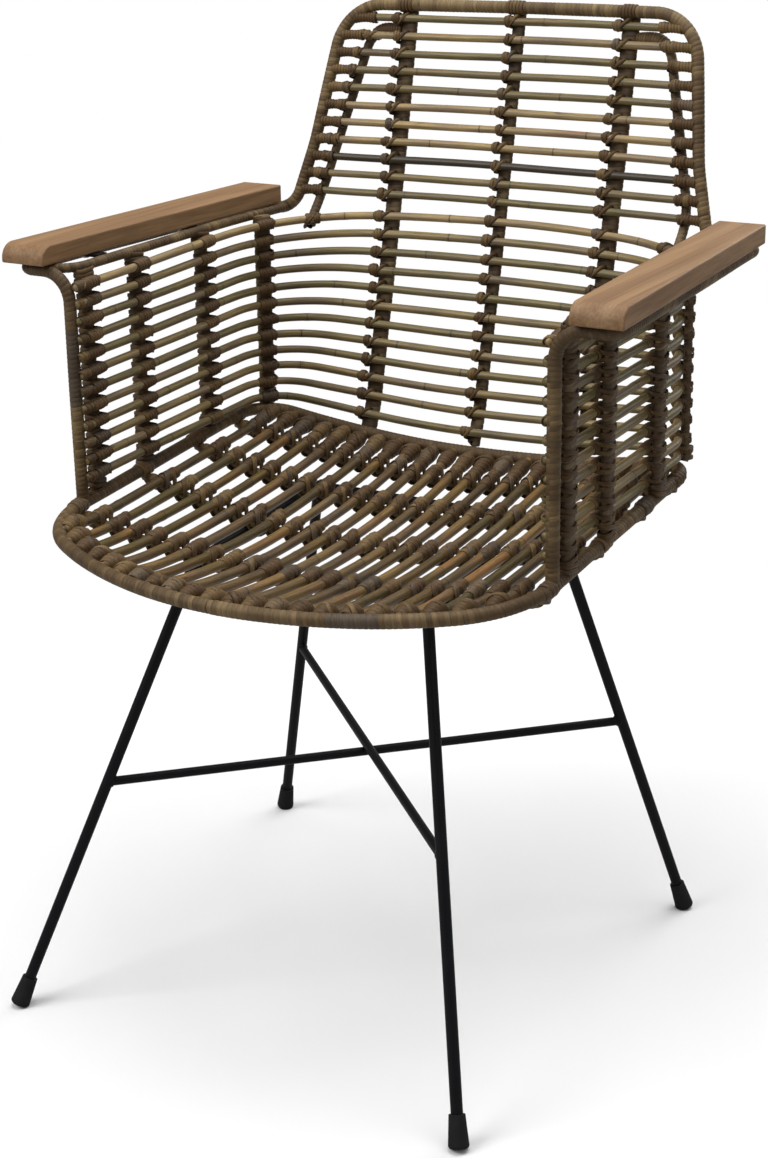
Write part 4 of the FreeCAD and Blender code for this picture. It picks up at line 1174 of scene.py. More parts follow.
@dataclass(frozen=True)
class Winding:
    """A rod or a pair of canes wound from end to end with one flat strip."""

    radius: float
    pair_half_gap: float = 0.0
    strip: float = 0.0042
    thickness: float = 0.00026
    sides: int = 16
    tones: Range = (0.28, 0.62)
    seams: Range = (0.1, 0.6)
    profile: tuple = ((0.0, -0.7), (0.12, 0.2), (0.5, 0.5), (0.88, 0.15))
    sunk: float = 0.75
    pair_squareness: float = 2.2
    waist_depth: float = 0.10
    waist_reach: float = 0.3
    jitter: float = 0.07
    lifts: Range = (0.6, 1.2)
    swell: float = 0.022
    swell_rate: float = 41.0
    tone_stretches: int = 20
    tone_drift: float = 0.3
    brownest: float = 0.85
    clean_share: float = 0.93
    dirt: float = 0.35
    grain_step: float = 0.01

    def section(self) -> tuple[Array, Array]:
        """The section of a round rod or a pair.

        Returns:
            Places round the section and the outward direction at each one.
        """
        angle = circle(self.sides)
        out = np.stack([np.cos(angle), np.sin(angle)], axis=1)
        places = out * (self.radius - self.thickness * self.sunk)
        if self.pair_half_gap:
            blend = np.tanh(out[:, 1] * self.pair_squareness) / math.tanh(self.pair_squareness)
            places[:, 1] += self.pair_half_gap * blend
            places[:, 0] *= 1 - self.waist_depth * np.exp(-((out[:, 1] / self.waist_reach) ** 2))
        return places, out

    def lay(self, sheaf: Sheaf, line: Line, rng: Rng, reference: Array,
            carried: bool = False, patches: tuple = ()) -> None:
        """Winds the strip along a line.

        Args:
            sheaf: where it goes.
            line: the rod's centre line.
            rng: source of its irregularity.
            reference: the direction that the section's first axis leans towards.
            carried: whether the section follows the line without twist.
            patches: (start, end, tone change) stretches as shares of the line's length.
        """
        shape, out = self.section()
        turns = max(2, int(line.length / self.strip))
        pitch = line.length / turns
        steps = len(self.profile)
        share, lift = (np.tile(column, turns)[:, None] for column in np.array(self.profile).T)
        turn = np.repeat(np.arange(turns), steps)
        jitter = rng.uniform(-self.jitter, self.jitter, turns + 2)
        around = np.arange(self.sides) / self.sides
        place = turn[:, None] + share + around
        whole = np.clip(np.floor(place).astype(int), 0, turns)
        place = place + jitter[whole] * (1 - np.abs(2 * (place - whole) - 1))
        runs = np.clip(place * pitch, 0, line.length)
        grown = (*runs.shape, 3)
        normal = line.normals(runs.ravel(), reference, carried).reshape(grown)
        side = np.cross(line.tangent(runs.ravel()).reshape(grown), normal)
        height = rng.uniform(*self.lifts, turns + 2)
        rise = lift * self.thickness * height[turn][:, None]
        swell = 1 + self.swell * np.sin(runs * self.swell_rate + rng.uniform(0, PHASE_SPAN))
        across, along = (shape[:, axis] * swell + out[:, axis] * rise for axis in range(2))
        places = line.at(runs.ravel()).reshape(grown)
        places = places + normal * across[..., None] + side * along[..., None]
        index = grid(*runs.shape)
        joined = quads(np.column_stack([index[:-steps, -1], index[steps:, 0]]))
        slow = rng.uniform(-self.tone_drift, self.tone_drift, self.tone_stretches)
        slow = np.interp(np.arange(turns), np.linspace(0, turns, self.tone_stretches), slow)
        tones = np.clip(rng.uniform(*self.tones, turns) + slow, 0, 1)
        hues = rng.uniform(0, self.brownest, turns)
        middle = (np.arange(turns) + 0.5) / turns
        for first, end, change in patches:
            inside = (middle > first) & (middle < end)
            tones = np.where(inside, np.clip(tones + change, 0, 1), tones)
            hues = np.where(inside, 1.0, hues)
        seam = (share == 0) * rng.uniform(*self.seams, turns)[turn][:, None]
        dirt = (share > 0) * (rng.uniform(0, 1, turns) > self.clean_share)[turn][:, None] * self.dirt
        mark = np.clip(seam + dirt, 0, 1)
        traits = spread_over(runs.shape, tones[turn][:, None], hues[turn][:, None], mark)
        girth = 2 * math.pi * self.radius + 4 * self.pair_half_gap
        deep = share * pitch + turn[:, None] * self.grain_step
        grain = spread_over(runs.shape, (turn[:, None] + around) * girth, deep, rise)
        start = sheaf.count
        sheaf.add(places, np.concatenate([quads(index), joined]), grain, traits)
        sheaf.cap(index[0][::-1] + start)
        sheaf.cap(index[-1] + start)


def wound_pair(diameter: float, strip: float, thickness: float, tones: Range) -> Winding:
    """The winding of two canes side by side."""
    return Winding(diameter / 2, diameter / 2, strip, thickness, sides=20, tones=tones)


@dataclass(frozen=True)
class Strip:
    """A flat split-cane strip with an arched face."""

    width: float = 0.0034
    thickness: float = 0.0011
    seam: float = 0.6
    profile: tuple = ((-0.5, -0.35), (-0.40, 0.55), (0.0, 1.0), (0.40, 0.55), (0.5, -0.35))
    marks: tuple = (1.0, 0.15, 0.0, 0.15, 1.0)

    def lay(self, sheaf: Sheaf, places: Array, outward: Array, tone: float, hue: float,
            offset: float, closed: bool = True) -> None:
        """Adds the strip along places on the surface that it binds.

        Args:
            sheaf: where it goes.
            places: the line on the bound surface.
            outward: the direction away from that surface at each place.
            tone: 0 for dark to 1 for pale.
            hue: 0 for brown to 1 for grey.
            offset: where its grain starts.
            closed: whether the strip's end meets its start.
        """
        if closed:
            tangents = np.roll(places, -1, axis=0) - np.roll(places, 1, axis=0)
        else:
            tangents = np.gradient(places, axis=0)
        across = unit(np.cross(unit(tangents), outward))
        width, height = self.width, self.thickness
        rings = [places + across * (w * width) + outward * (h * height) for w, h in self.profile]
        steps = np.linalg.norm(np.diff(places, axis=0), axis=1)
        run = np.concatenate([[0.0], np.cumsum(steps)]) + offset
        wide = np.array([w for w, _ in self.profile]) * self.width
        index = grid(len(places), len(self.profile))
        grain = spread_over(index.shape, run[:, None], wide, offset)
        traits = spread_over(index.shape, tone, hue, np.array(self.marks) * self.seam)
        rows = np.vstack([index, index[:1]]) if closed else index
        sheaf.add(np.stack(rings, axis=1), quads(round_off(rows)), grain, traits)


@dataclass
class Lashing:
    """Ties of split cane where canes cross."""

    rng: Rng
    strip: Strip
    tones: Range
    tuck: float = 0.0
    lean: float = 1.0
    loop_segments: int = 18
    turn_segments: int = 12
    girths: Range = (-0.0002, 0.0003)
    sway: float = 0.0006
    steepest: float = 0.55
    end_turns: float = 0.2
    end_depth: float = 0.0010
    flare_power: float = 1.6
    lone_shift: float = 0.4
    lone_width: float = 0.6
    slack: float = 0.0003
    cover: float = 0.0002
    beside_cover: float = 0.0004
    stagger: float = 0.0012
    climb: Range = (0.0, 0.0016)
    end_margin: float = 0.004
    beside_turns: Range = (1.9, 3.0)
    beside_step: float = 0.0014
    beside_bulges: Range = (0.0004, 0.0014)

    def _traits(self) -> tuple[float, float, float]:
        """Tone, hue and grain offset of a new strip."""
        rng = self.rng
        return float(rng.uniform(*self.tones)), float(rng.uniform(0, 1)), float(rng.uniform(0, 60))

    def loop(self, sheaf: Sheaf, centre: Array, axes: tuple, half_width: float, half_depth: float,
             tilt: float, power: float = 0.5) -> None:
        """One closed loop round a stake and the cane in front of it.

        Args:
            sheaf: where it goes.
            centre: the middle of the loop.
            axes: unit directions across the stake, from the stake to the cane, and along the stake.
            half_width: half of the loop's width.
            half_depth: half of its depth.
            tilt: how far the loop climbs along the stake over half of its width.
            power: 1 for an ellipse, less for a loop with tighter corners.
        """
        across, deep, rise = axes
        angle = circle(self.loop_segments)
        cosine, sine = np.cos(angle), np.sin(angle)
        wide = np.sign(cosine) * np.abs(cosine) ** power
        far = np.sign(sine) * np.abs(sine) ** power
        places = centre + np.outer(wide * half_width, across) + np.outer(far * half_depth, deep)
        places = places + np.outer(wide * tilt, rise)
        outward = unit(np.outer(cosine / half_width, across) + np.outer(sine / half_depth, deep))
        self.strip.lay(sheaf, places, outward, *self._traits())

    def coil(self, sheaf: Sheaf, line: Line, middle: float, radius: float, spec: Coil,
             reference: Array = UP, flare: float = 0.0, ease: float = 1.0) -> None:
        """Turns of strip round a cane, whose two ends sink into it.

        Args:
            sheaf: where they go.
            line: the cane's centre line.
            middle: length along the line at the coil's middle.
            radius: the cane's radius.
            spec: number of turns, distance from the cane, bulge halfway and pitch.
            reference: the direction that the coil's first axis leans towards.
            flare: how much thicker the last turn is than the first.
            ease: 1 for a slender bulge, less for a fuller one.
        """
        turns, cover, bulge, pitch = spec
        radius += cover
        count = int(turns * self.turn_segments) + 1
        share = np.linspace(0, 1, count)
        length = turns * pitch
        runs = np.clip(middle - length / 2 + share * length, 0, line.length)
        angle = share * turns * 2 * math.pi + self.rng.uniform(0, PHASE_SPAN)
        tangent = line.tangent(runs)
        normal = line.normals(runs, reference)
        side = np.cross(tangent, normal)
        outward = np.cos(angle)[:, None] * normal + np.sin(angle)[:, None] * side
        size = radius + bulge * np.sin(share * math.pi).clip(0, 1) ** ease
        size = size + flare * share**self.flare_power
        size += self.rng.uniform(*self.girths)
        slope = np.gradient(size, length / (count - 1)).clip(-self.steepest, self.steepest)
        facing = unit(outward - tangent * slope[:, None])
        sunk = np.clip(1 - np.minimum(share, 1 - share) * turns / self.end_turns, 0, 1) ** 2
        size = size * (1 - sunk) + (radius - self.end_depth) * sunk
        places = line.at(runs) + outward * size[:, None]
        sway = self.rng.uniform(-self.sway, self.sway)
        places += tangent * (sway * np.sin(angle))[:, None]
        self.strip.lay(sheaf, places, facing, *self._traits(), closed=False)

    def tie(self, sheaf: Sheaf, stake: Array, rise: Array, cane: Line, run: float,
            half_width: float, half_depth: float, cane_radius: float, coils: tuple = ()) -> None:
        """Two crossed strips over a cane and a stake, or one with coils on the cane beside the stake.

        Args:
            sheaf: where they go.
            stake: the stake's centre at the crossing.
            rise: unit direction along the stake.
            cane: the cane's centre line.
            run: length along the cane at the crossing.
            half_width: half of the stake's width.
            half_depth: half of its depth.
            cane_radius: the cane's radius.
            coils: sides of the stake, -1 or 1, that have a coil. The strip lies beside the first.
        """
        rng = self.rng
        across = cane.tangent(run)
        deep = cane.at(run) - stake
        deep = deep - rise * np.dot(deep, rise)
        gap = float(np.linalg.norm(deep))
        deep = deep / gap
        flat = unit(across - deep * np.dot(across, deep))
        back, front = -half_depth - self.slack, gap + cane_radius + self.cover
        shift = flat * coils[0] * half_width * self.lone_shift if coils else 0.0
        half = half_width * self.lone_width if coils else half_width + self.slack
        for way in (1,) if coils else (1, -1):
            stagger = rng.uniform(-self.stagger, self.stagger)
            centre = stake + deep * (back + front) / 2 + rise * stagger + shift
            tilt = way * self.lean * (cane_radius + rng.uniform(*self.climb))
            grow = rng.uniform(0, self.slack)
            self.loop(sheaf, centre, (flat, deep, rise), half + grow, (front - back) / 2 + grow, tilt)
        for way in coils:
            turns = rng.uniform(*self.beside_turns)
            middle = run + way * (half_width - self.tuck + turns * self.beside_step)
            if self.end_margin < middle < cane.length - self.end_margin:
                spec = (turns, self.beside_cover, rng.uniform(*self.beside_bulges), COIL_PITCH)
                self.coil(sheaf, cane, middle, cane_radius, spec)


# Sub-assemblies


@dataclass
class Workshop:
    """What every sub-assembly shares: the chair's lines and its finishes."""

    lines: ChairLines = field(default_factory=ChairLines)
    cane: CaneFinish = CaneFinish("rattan_cane")
    slat: CaneFinish = CaneFinish(
        "rattan_slat", (0.205, 0.122, 0.035), (0.082, 0.057, 0.015), (0.085, 0.060, 0.039), rust_share=0.24
    )
    strip: StripFinish = StripFinish("rattan_strip")
    rod: StripFinish = StripFinish("wound_rod", brown=(0.100, 0.060, 0.026), straw=(0.200, 0.136, 0.062))
    stake: StripFinish = StripFinish("wound_stake", brown=(0.108, 0.068, 0.034), straw=(0.212, 0.150, 0.078))

    def __post_init__(self) -> None:
        """Makes the materials and the lines that several sub-assemblies use."""
        finishes = (self.cane, self.slat, self.strip, self.rod, self.stake)
        self.made = {finish.name: finish.material() for finish in finishes}
        self.rim = self.lines.rim()
        self.hoop = self.lines.hoop()
        count = self.lines.wrap_count
        self.wraps = [self.lines.wrap(number / (count - 1)) for number in range(count)]
        self.upper = self.lines.upper_canes(self.hoop)
        self.loops = {side: self.sided(self.lines.loop(), sign) for side, sign in SIDES}
        self.rails = {side: self.sided(self.lines.rail(), sign) for side, sign in SIDES}

    @staticmethod
    def sided(line: Line, sign: float) -> Line:
        """A right-hand line, or its mirror image."""
        return Line(line.places * np.array((sign, 1.0, 1.0)))

    def material(self, finish: CaneFinish | StripFinish) -> Material:
        """The material of a finish."""
        return self.made[finish.name]

    def wind(self, node: str, slot: Slot, winding: Winding, line: Line, rng: Rng,
             reference: Array, **options: object) -> None:
        """Makes the wound piece that stands for one CAD node.

        Args:
            node: the node's name.
            slot: the slot of rods or of stakes.
            winding: the section and its strip.
            line: the centre line.
            rng: source of its irregularity.
            reference: the direction that the section's first axis leans towards.
            **options: what else the winding is told.
        """
        sheaf = Sheaf()
        winding.lay(sheaf, line, rng, reference, **options)
        finish = self.stake if slot is Slot.STAKE else self.rod
        sheaf.piece(f"{node}_wound", slot, self.material(finish), node)

    def bind(self, name: str, sheaf: Sheaf) -> None:
        """Makes the piece of a group of lashings."""
        sheaf.piece(name, Slot.RATTAN, self.material(self.strip))


@dataclass
class Seat:
    """Wound rim, slats, crossbars and the lashings that hold them."""

    shop: Workshop
    seed: int = 11
    rim_strip: float = 0.0045
    patch_place: float = 0.10
    patch_share: float = 0.025
    patch_tone: float = -0.25
    slat_samples: int = 90
    slat_smokes: tuple = (0.0, 0.0, 0.0, 0.1, 0.2, 0.4)
    slat_unevenness: float = 0.035
    slat_node_gap: Range = (0.09, 0.2)
    slat_node_swell: float = 0.09
    slat_tones: Range = (0.1, 1.0)
    bar_tones: Range = (0.1, 0.5)
    end_rise: float = 0.0012
    end_run: float = 0.075
    end_margin: float = 0.03
    tie_strip: Strip = Strip(0.0066, 0.0008, 0.35)
    tie_tones: Range = (0.05, 0.75)
    tie_pitch: float = 0.0058
    tie_turns: Range = (3.2, 4.7)
    tie_shifts: Range = (-0.004, 0.002)
    tie_flares: Range = (0.0010, 0.0024)
    tie_bulges: Range = (0.0002, 0.0008)
    tie_tilts: Range = (0.0005, 0.002)
    tie_room: Range = (0.0014, 0.0006)
    tie_power: float = 0.75
    knot_strip: Strip = Strip(0.0054, 0.0010, 0.5)
    knot_pitch: float = 0.0040
    knot_span: Range = (0.006, 0.032)
    knot_spreads: Range = (-0.002, 0.002)
    knot_samples: int = 9
    knot_bite: float = 0.0006
    knot_bulges: Range = (0.0026, 0.0036)
    front_rises: Triple = (0.0002, 0.0032, 0.0008)
    rear_rises: Triple = (0.0, 0.0010, 0.0)
    band_share: float = 0.7
    band_bite: float = 0.0002
    band_places: Range = (0.4, 0.6)
    band_tilts: Range = (0.003, 0.006)
    bar_inset: float = 0.016
    bar_coil: Coil = (4.2, 0.0004, 0.0012, 0.0050)
    rim_coil: Coil = (3.4, 0.0002, 0.0005, 0.0052)

    def __post_init__(self) -> None:
        """Sets up the random source and what winds the ties and the knots."""
        self.rng = np.random.default_rng(self.seed)
        self.ties = Lashing(self.rng, self.tie_strip, self.tie_tones)
        self.knots = Lashing(self.rng, self.knot_strip, self.tie_tones)

    def build(self) -> None:
        """Makes the seat's pieces."""
        lines, rim = self.shop.lines, self.shop.rim
        front = -lines.seat_front_reach
        start = rim.nearest(point(self.patch_place, front, lines.rim_plane(front))) / rim.length
        patches = ((start, start + self.patch_share, self.patch_tone),)
        winding = Winding(lines.rim_rod_dia / 2, strip=self.rim_strip)
        self.shop.wind("seat_rim", Slot.WRAP, winding, rim, self.rng, UP, patches=patches)
        slats = self.slats()
        self.lay_slats(slats)
        bars = self.crossbars()
        self.lash_slats(slats, bars)
        sheaf = Sheaf()
        self.knot_slats(sheaf, slats)
        self.lash_bars(sheaf, bars)
        self.shop.bind("seat_rim_knots", sheaf)

    def slats(self) -> list[Line]:
        """The slats, which bend up to the rim at the front.

        Returns:
            Their centre lines, from left to right.
        """
        lines, rim = self.shop.lines, self.shop.rim
        half_count = int((lines.dish_half_width() - lines.slat_dia / 2) / lines.slat_pitch + 0.5)
        made = []
        for number in range(-half_count, half_count):
            x = (number + 0.5) * lines.slat_pitch
            ends = rim.at(rim.crossings(0, x))
            front = ends[np.argmin(ends[:, 1])]
            depths = np.linspace(front[1], ends[:, 1].max(), self.slat_samples)
            heights = np.array([lines.seat_height(x, y) for y in depths])
            fade = np.clip(1 - (depths - front[1]) / self.end_run, 0, 1) ** 2
            heights += (front[2] + self.end_rise - heights[0]) * fade
            made.append(Line(np.stack([np.full(len(depths), x), depths, heights], axis=1)))
        return made

    def lay_slats(self, slats: list[Line]) -> None:
        """Makes the slats' piece.

        Args:
            slats: their centre lines.
        """
        sheaf, rng = Sheaf(), self.rng
        for slat in slats:
            cane = Cane(
                self.shop.lines.slat_dia,
                unevenness=self.slat_unevenness,
                node_gap=self.slat_node_gap,
                node_swell=self.slat_node_swell,
                smoke=float(rng.choice(self.slat_smokes)),
            )
            cane.lay(sheaf, slat, rng, rng.uniform(*self.slat_tones), rng.uniform(0, 1))
        sheaf.piece("slats", Slot.RATTAN, self.shop.material(self.shop.slat), "seat_slats")

    def crossbars(self) -> list[Line]:
        """Makes the crossbars' pieces.

        Returns:
            Their centre lines, from front to rear.
        """
        lines, rng = self.shop.lines, self.rng
        wide, drop = lines.seat_half_width, lines.crossbar_drop()
        made = []
        for number, share in enumerate(lines.crossbar_shares, start=1):
            y = lines.crossbar_setback(share)
            places = [point(x, y, lines.seat_height(x, y) - drop) for x in (-wide, 0, wide)]
            made.append(Line.bent(*places))
            sheaf, cane = Sheaf(), Cane(lines.crossbar_dia)
            cane.lay(sheaf, made[-1], rng, rng.uniform(*self.bar_tones), rng.uniform(0, 1))
            name = f"seat_crossbar_{number}"
            sheaf.piece(f"{name}_cane", Slot.RATTAN, self.shop.material(self.shop.slat), name)
        return made

    def lash_slats(self, slats: list[Line], bars: list[Line]) -> None:
        """Makes the lashings over every crossing of a slat and a crossbar.

        Args:
            slats: the slats' centre lines.
            bars: the crossbars' centre lines.
        """
        lines, rng, ties = self.shop.lines, self.rng, self.ties
        radius, reach = lines.slat_dia / 2, lines.crossbar_dia / 2
        wide_room, deep_room = self.tie_room
        depth = (radius + lines.crossbar_drop() + reach) / 2 + deep_room
        sheaf = Sheaf()
        for slat in slats:
            for bar in bars:
                runs = slat.crossings(1, bar.places[0, 1])
                if not len(runs) or not self.end_margin < runs[0] < slat.length - self.end_margin:
                    continue
                turns = rng.uniform(*self.tie_turns)
                middle = runs[0] + rng.uniform(*self.tie_shifts)
                flare = rng.uniform(*self.tie_flares)
                spec = (turns, 0.0, rng.uniform(*self.tie_bulges), self.tie_pitch)
                ties.coil(sheaf, slat, middle, radius, spec, flare=flare)
                centre = slat.at(runs[0]) - UP * lines.crossbar_drop() / 2
                for way in (-1, 1):
                    tilt = way * (reach + rng.uniform(*self.tie_tilts))
                    ties.loop(sheaf, centre, SLAT_AXES, radius + wide_room, depth, tilt, self.tie_power)
        self.shop.bind("seat_lashings", sheaf)

    def knot_slats(self, sheaf: Sheaf, slats: list[Line]) -> None:
        """Winds the round knots at both ends of every slat that is long enough.

        Args:
            sheaf: where they go.
            slats: the slats' centre lines.
        """
        rng, knots = self.rng, self.knots
        radius = self.shop.lines.slat_dia / 2
        share = np.linspace(0, 1, self.knot_samples)
        for slat in slats:
            if slat.length < 4 * self.knot_span[1]:
                continue
            for rises, near, sense in ((self.front_rises, 0.0, 1.0), (self.rear_rises, slat.length, -1.0)):
                span = (run + rng.uniform(*self.knot_spreads) for run in self.knot_span)
                first, last = (near + sense * run for run in span)
                height = np.interp(share, (0.0, 0.5, 1.0), rises)
                barrel = Line(slat.at(first + (last - first) * share) + np.outer(height, UP))
                bulge = rng.uniform(*self.knot_bulges)
                spec = (barrel.length / self.knot_pitch, -self.knot_bite, bulge, self.knot_pitch)
                knots.coil(sheaf, barrel, barrel.length / 2, radius, spec, ease=FULL_BULGE)
                if rng.uniform() < self.band_share:
                    spot = barrel.at(barrel.length * rng.uniform(*self.band_places))
                    tilt = float(rng.uniform(*self.band_tilts) * rng.choice((-1, 1)))
                    girth = radius - self.band_bite + bulge
                    knots.loop(sheaf, spot, SLAT_AXES, girth, girth, tilt, power=1.0)

    def lash_bars(self, sheaf: Sheaf, bars: list[Line]) -> None:
        """Binds the ends of the crossbars to the rim.

        Args:
            sheaf: where the lashings go.
            bars: the crossbars' centre lines.
        """
        lines, rim = self.shop.lines, self.shop.rim
        for bar in bars:
            for end, inner in ((0.0, self.bar_inset), (bar.length, bar.length - self.bar_inset)):
                beside = rim.nearest(bar.at(end))
                self.ties.coil(sheaf, bar, inner, lines.crossbar_dia / 2, self.bar_coil)
                self.ties.coil(sheaf, rim, beside, lines.rim_rod_dia / 2, self.rim_coil)


@dataclass
class Back:
    """Wound hoop, straight canes, wound stakes and their lashings."""

    shop: Workshop
    seed: int = 23
    hoop_tones: Range = (0.4, 0.8)
    cane_tones: tuple = (0.42, 0.46, 0.02, 0.80, 0.92, 0.88, 0.40, 0.46, 0.40, 0.62, 0.50)
    cane_hues: tuple = (0.15, 0.45, 0.05, 0.75, 0.95, 0.85, 0.20, 0.35, 0.30, 0.75, 0.10)
    cane_smokes: tuple = (0.08, 0.14, 0.84, 0.0, 0.0, 0.0, 0.12, 0.16, 0.22, 0.06, 0.16)
    stake_strip: float = 0.0052
    stake_thickness: float = 0.0004
    stake_tones: Range = (0.1, 0.65)
    stake_ends: Range = (0.010, 0.002)
    stake_samples: int = 220
    side_strip: float = 0.0046
    tie_strip: Strip = Strip(0.0036, 0.0008, 0.4)
    tie_tones: Range = (0.15, 0.7)
    tie_tuck: float = 0.0030
    top_margin: float = 0.004
    top_spread: float = 0.003
    top_turns: Range = (3.6, 5.2)
    top_coil: tuple = (0.0002, 0.0003, 0.0034)
    foot_place: float = 0.0055
    foot_tie: float = 0.008
    foot_coil: Coil = (3.2, 0.0002, 0.0008, 0.0032)
    join_place: float = 0.018
    join_coil: Coil = (12.0, 0.0004, 0.0014, 0.0026)
    end_coil: tuple = (0.0016, -0.0013, COIL_PITCH)

    def __post_init__(self) -> None:
        """Sets up the random source and what winds the ties."""
        self.rng = np.random.default_rng(self.seed)
        self.ties = Lashing(self.rng, self.tie_strip, self.tie_tones, tuck=self.tie_tuck)

    def build(self) -> None:
        """Makes the back's pieces."""
        lines, shop, rng = self.shop.lines, self.shop, self.rng
        sheaf = Sheaf()
        Winding(lines.hoop_rod_dia / 2, tones=self.hoop_tones).lay(sheaf, shop.hoop, rng, UP, carried=True)
        sheaf.piece("hoop_wound", Slot.WRAP, shop.material(shop.rod), "back_hoop")
        sheaf = Sheaf()
        for line, tone, hue, smoke in zip(shop.upper, self.cane_tones, self.cane_hues, self.cane_smokes):
            Cane(lines.upper_cane_dia, smoke=smoke).lay(sheaf, line, rng, tone, hue)
        sheaf.piece("upper_canes", Slot.RATTAN, shop.material(shop.cane), "upper_back_canes")
        stakes = self.main_stakes()
        sides = self.side_stakes()
        self.lash_stakes(stakes)
        sheaf = Sheaf()
        self.lash_sides(sheaf, sides)
        self.lash_hoop(sheaf, [stake for stake, _ in stakes], sides)
        shop.bind("hoop_lashings", sheaf)

    def main_stakes(self) -> list[tuple[Line, float]]:
        """Makes the three wound stakes' pieces.

        Returns:
            The centre line and the cane diameter of each.
        """
        lines = self.shop.lines
        wide, thick, thin = lines.main_stake_half_width, lines.stake_dia, lines.centre_stake_dia
        foot, head = self.stake_ends
        made = []
        for side, x, diameter in (("left", -wide, thick), ("centre", 0.0, thin), ("right", wide, thick)):
            shift = -lines.bow_depth() * (x / wide) ** 2
            line = lines.back_line(x, shift, lines.behind(diameter))
            high = float(line.crossings(2, lines.back_top() - head)[0])
            line = Line(line.at(np.linspace(foot, high, self.stake_samples)))
            winding = wound_pair(diameter, self.stake_strip, self.stake_thickness, self.stake_tones)
            self.shop.wind(f"back_stake_{side}", Slot.STAKE, winding, line, self.rng, FORWARD)
            made.append((line, diameter))
        return made

    def side_stakes(self) -> list[Line]:
        """Makes the side stakes' pieces.

        Returns:
            Their centre lines.
        """
        lines, shop = self.shop.lines, self.shop
        winding = Winding(lines.side_stake_dia / 2, strip=self.side_strip, sides=14)
        made = []
        for side, sign in SIDES:
            line = shop.sided(lines.side_stake(shop.hoop, shop.wraps[0]), sign)
            shop.wind(f"side_stake_{side}", Slot.STAKE, winding, line, self.rng, FORWARD, carried=True)
            made.append(line)
        return made

    def lash_stakes(self, stakes: list[tuple[Line, float]]) -> None:
        """Makes the ties at every crossing of a cane and a main stake.

        Args:
            stakes: the centre line and the cane diameter of each.
        """
        lines, shop = self.shop.lines, self.shop
        canes = [(line, lines.upper_cane_dia / 2) for line in shop.upper]
        canes += [(line, lines.wrap_cane_dia / 2) for line in shop.wraps]
        sheaf = Sheaf()
        for stake, diameter in stakes:
            for cane, radius in canes:
                run = float(cane.crossings(0, float(stake.places[0, 0]))[0])
                self.tie_at(sheaf, stake, cane, run, (diameter, diameter / 2), radius, (-1,))
        shop.bind("back_lashings", sheaf)

    def lash_sides(self, sheaf: Sheaf, sides: list[Line]) -> None:
        """Makes the ties at every crossing of a straight cane and a side stake.

        Args:
            sheaf: where they go.
            sides: the side stakes' centre lines.
        """
        lines = self.shop.lines
        half = lines.side_stake_dia / 2
        for line in sides:
            sign = int(math.copysign(1.0, line.places[0, 0]))
            for cane in self.shop.upper:
                height = float(cane.places[0, 2])
                if height > line.places[:, 2].max() - self.top_margin:
                    continue
                spot = line.at(line.crossings(2, height)[0])
                run = float(cane.crossings(0, spot[0])[0])
                self.tie_at(sheaf, line, cane, run, (half, half), lines.upper_cane_dia / 2, (sign,))

    def lash_hoop(self, sheaf: Sheaf, stakes: list[Line], sides: list[Line]) -> None:
        """Binds the stakes to the hoop and the highest wrap cane, and covers the straight canes' ends.

        Args:
            sheaf: where the lashings go.
            stakes: the main stakes' centre lines.
            sides: the side stakes' centre lines.
        """
        lines, hoop, wrap = self.shop.lines, self.shop.hoop, self.shop.wraps[0]
        rng, ties = self.rng, self.ties
        half = lines.side_stake_dia / 2
        for stake in stakes:
            run = hoop.nearest(stake.places[-1]) + rng.uniform(-self.top_spread, self.top_spread)
            spec = (rng.uniform(*self.top_turns), *self.top_coil)
            ties.coil(sheaf, hoop, run, lines.hoop_rod_dia / 2, spec)
        for line in sides:
            ties.coil(sheaf, line, self.foot_place, half, self.foot_coil, reference=FORWARD)
            run = wrap.nearest(line.at(self.foot_tie))
            self.tie_at(sheaf, line, wrap, run, (half, half), lines.wrap_cane_dia / 2, (-1, 1))
            join = line.length - self.join_place
            ties.coil(sheaf, line, join, half, self.join_coil, reference=FORWARD, ease=FULL_BULGE)
        reach = lines.side_stake_top_inset - half
        middle = lines.hoop_rod_dia / 4 + reach / 2
        spec = (reach / COIL_PITCH, *self.end_coil)
        for cane in self.shop.upper:
            for run in (middle, cane.length - middle):
                ties.coil(sheaf, cane, run, lines.upper_cane_dia / 2, spec)

    def tie_at(self, sheaf: Sheaf, stake: Line, cane: Line, run: float, halves: Range, radius: float,
               coils: tuple) -> None:
        """One tie where a cane passes in front of a stake.

        Args:
            sheaf: where it goes.
            stake: the stake's centre line.
            cane: the cane's centre line.
            run: length along the cane at the crossing.
            halves: half of the stake's width and half of its depth.
            radius: the cane's radius.
            coils: sides of the stake, -1 or 1, that have a coil.
        """
        place = stake.nearest(cane.at(run))
        self.ties.tie(sheaf, stake.at(place), stake.tangent(place), cane, run, *halves, radius, coils)


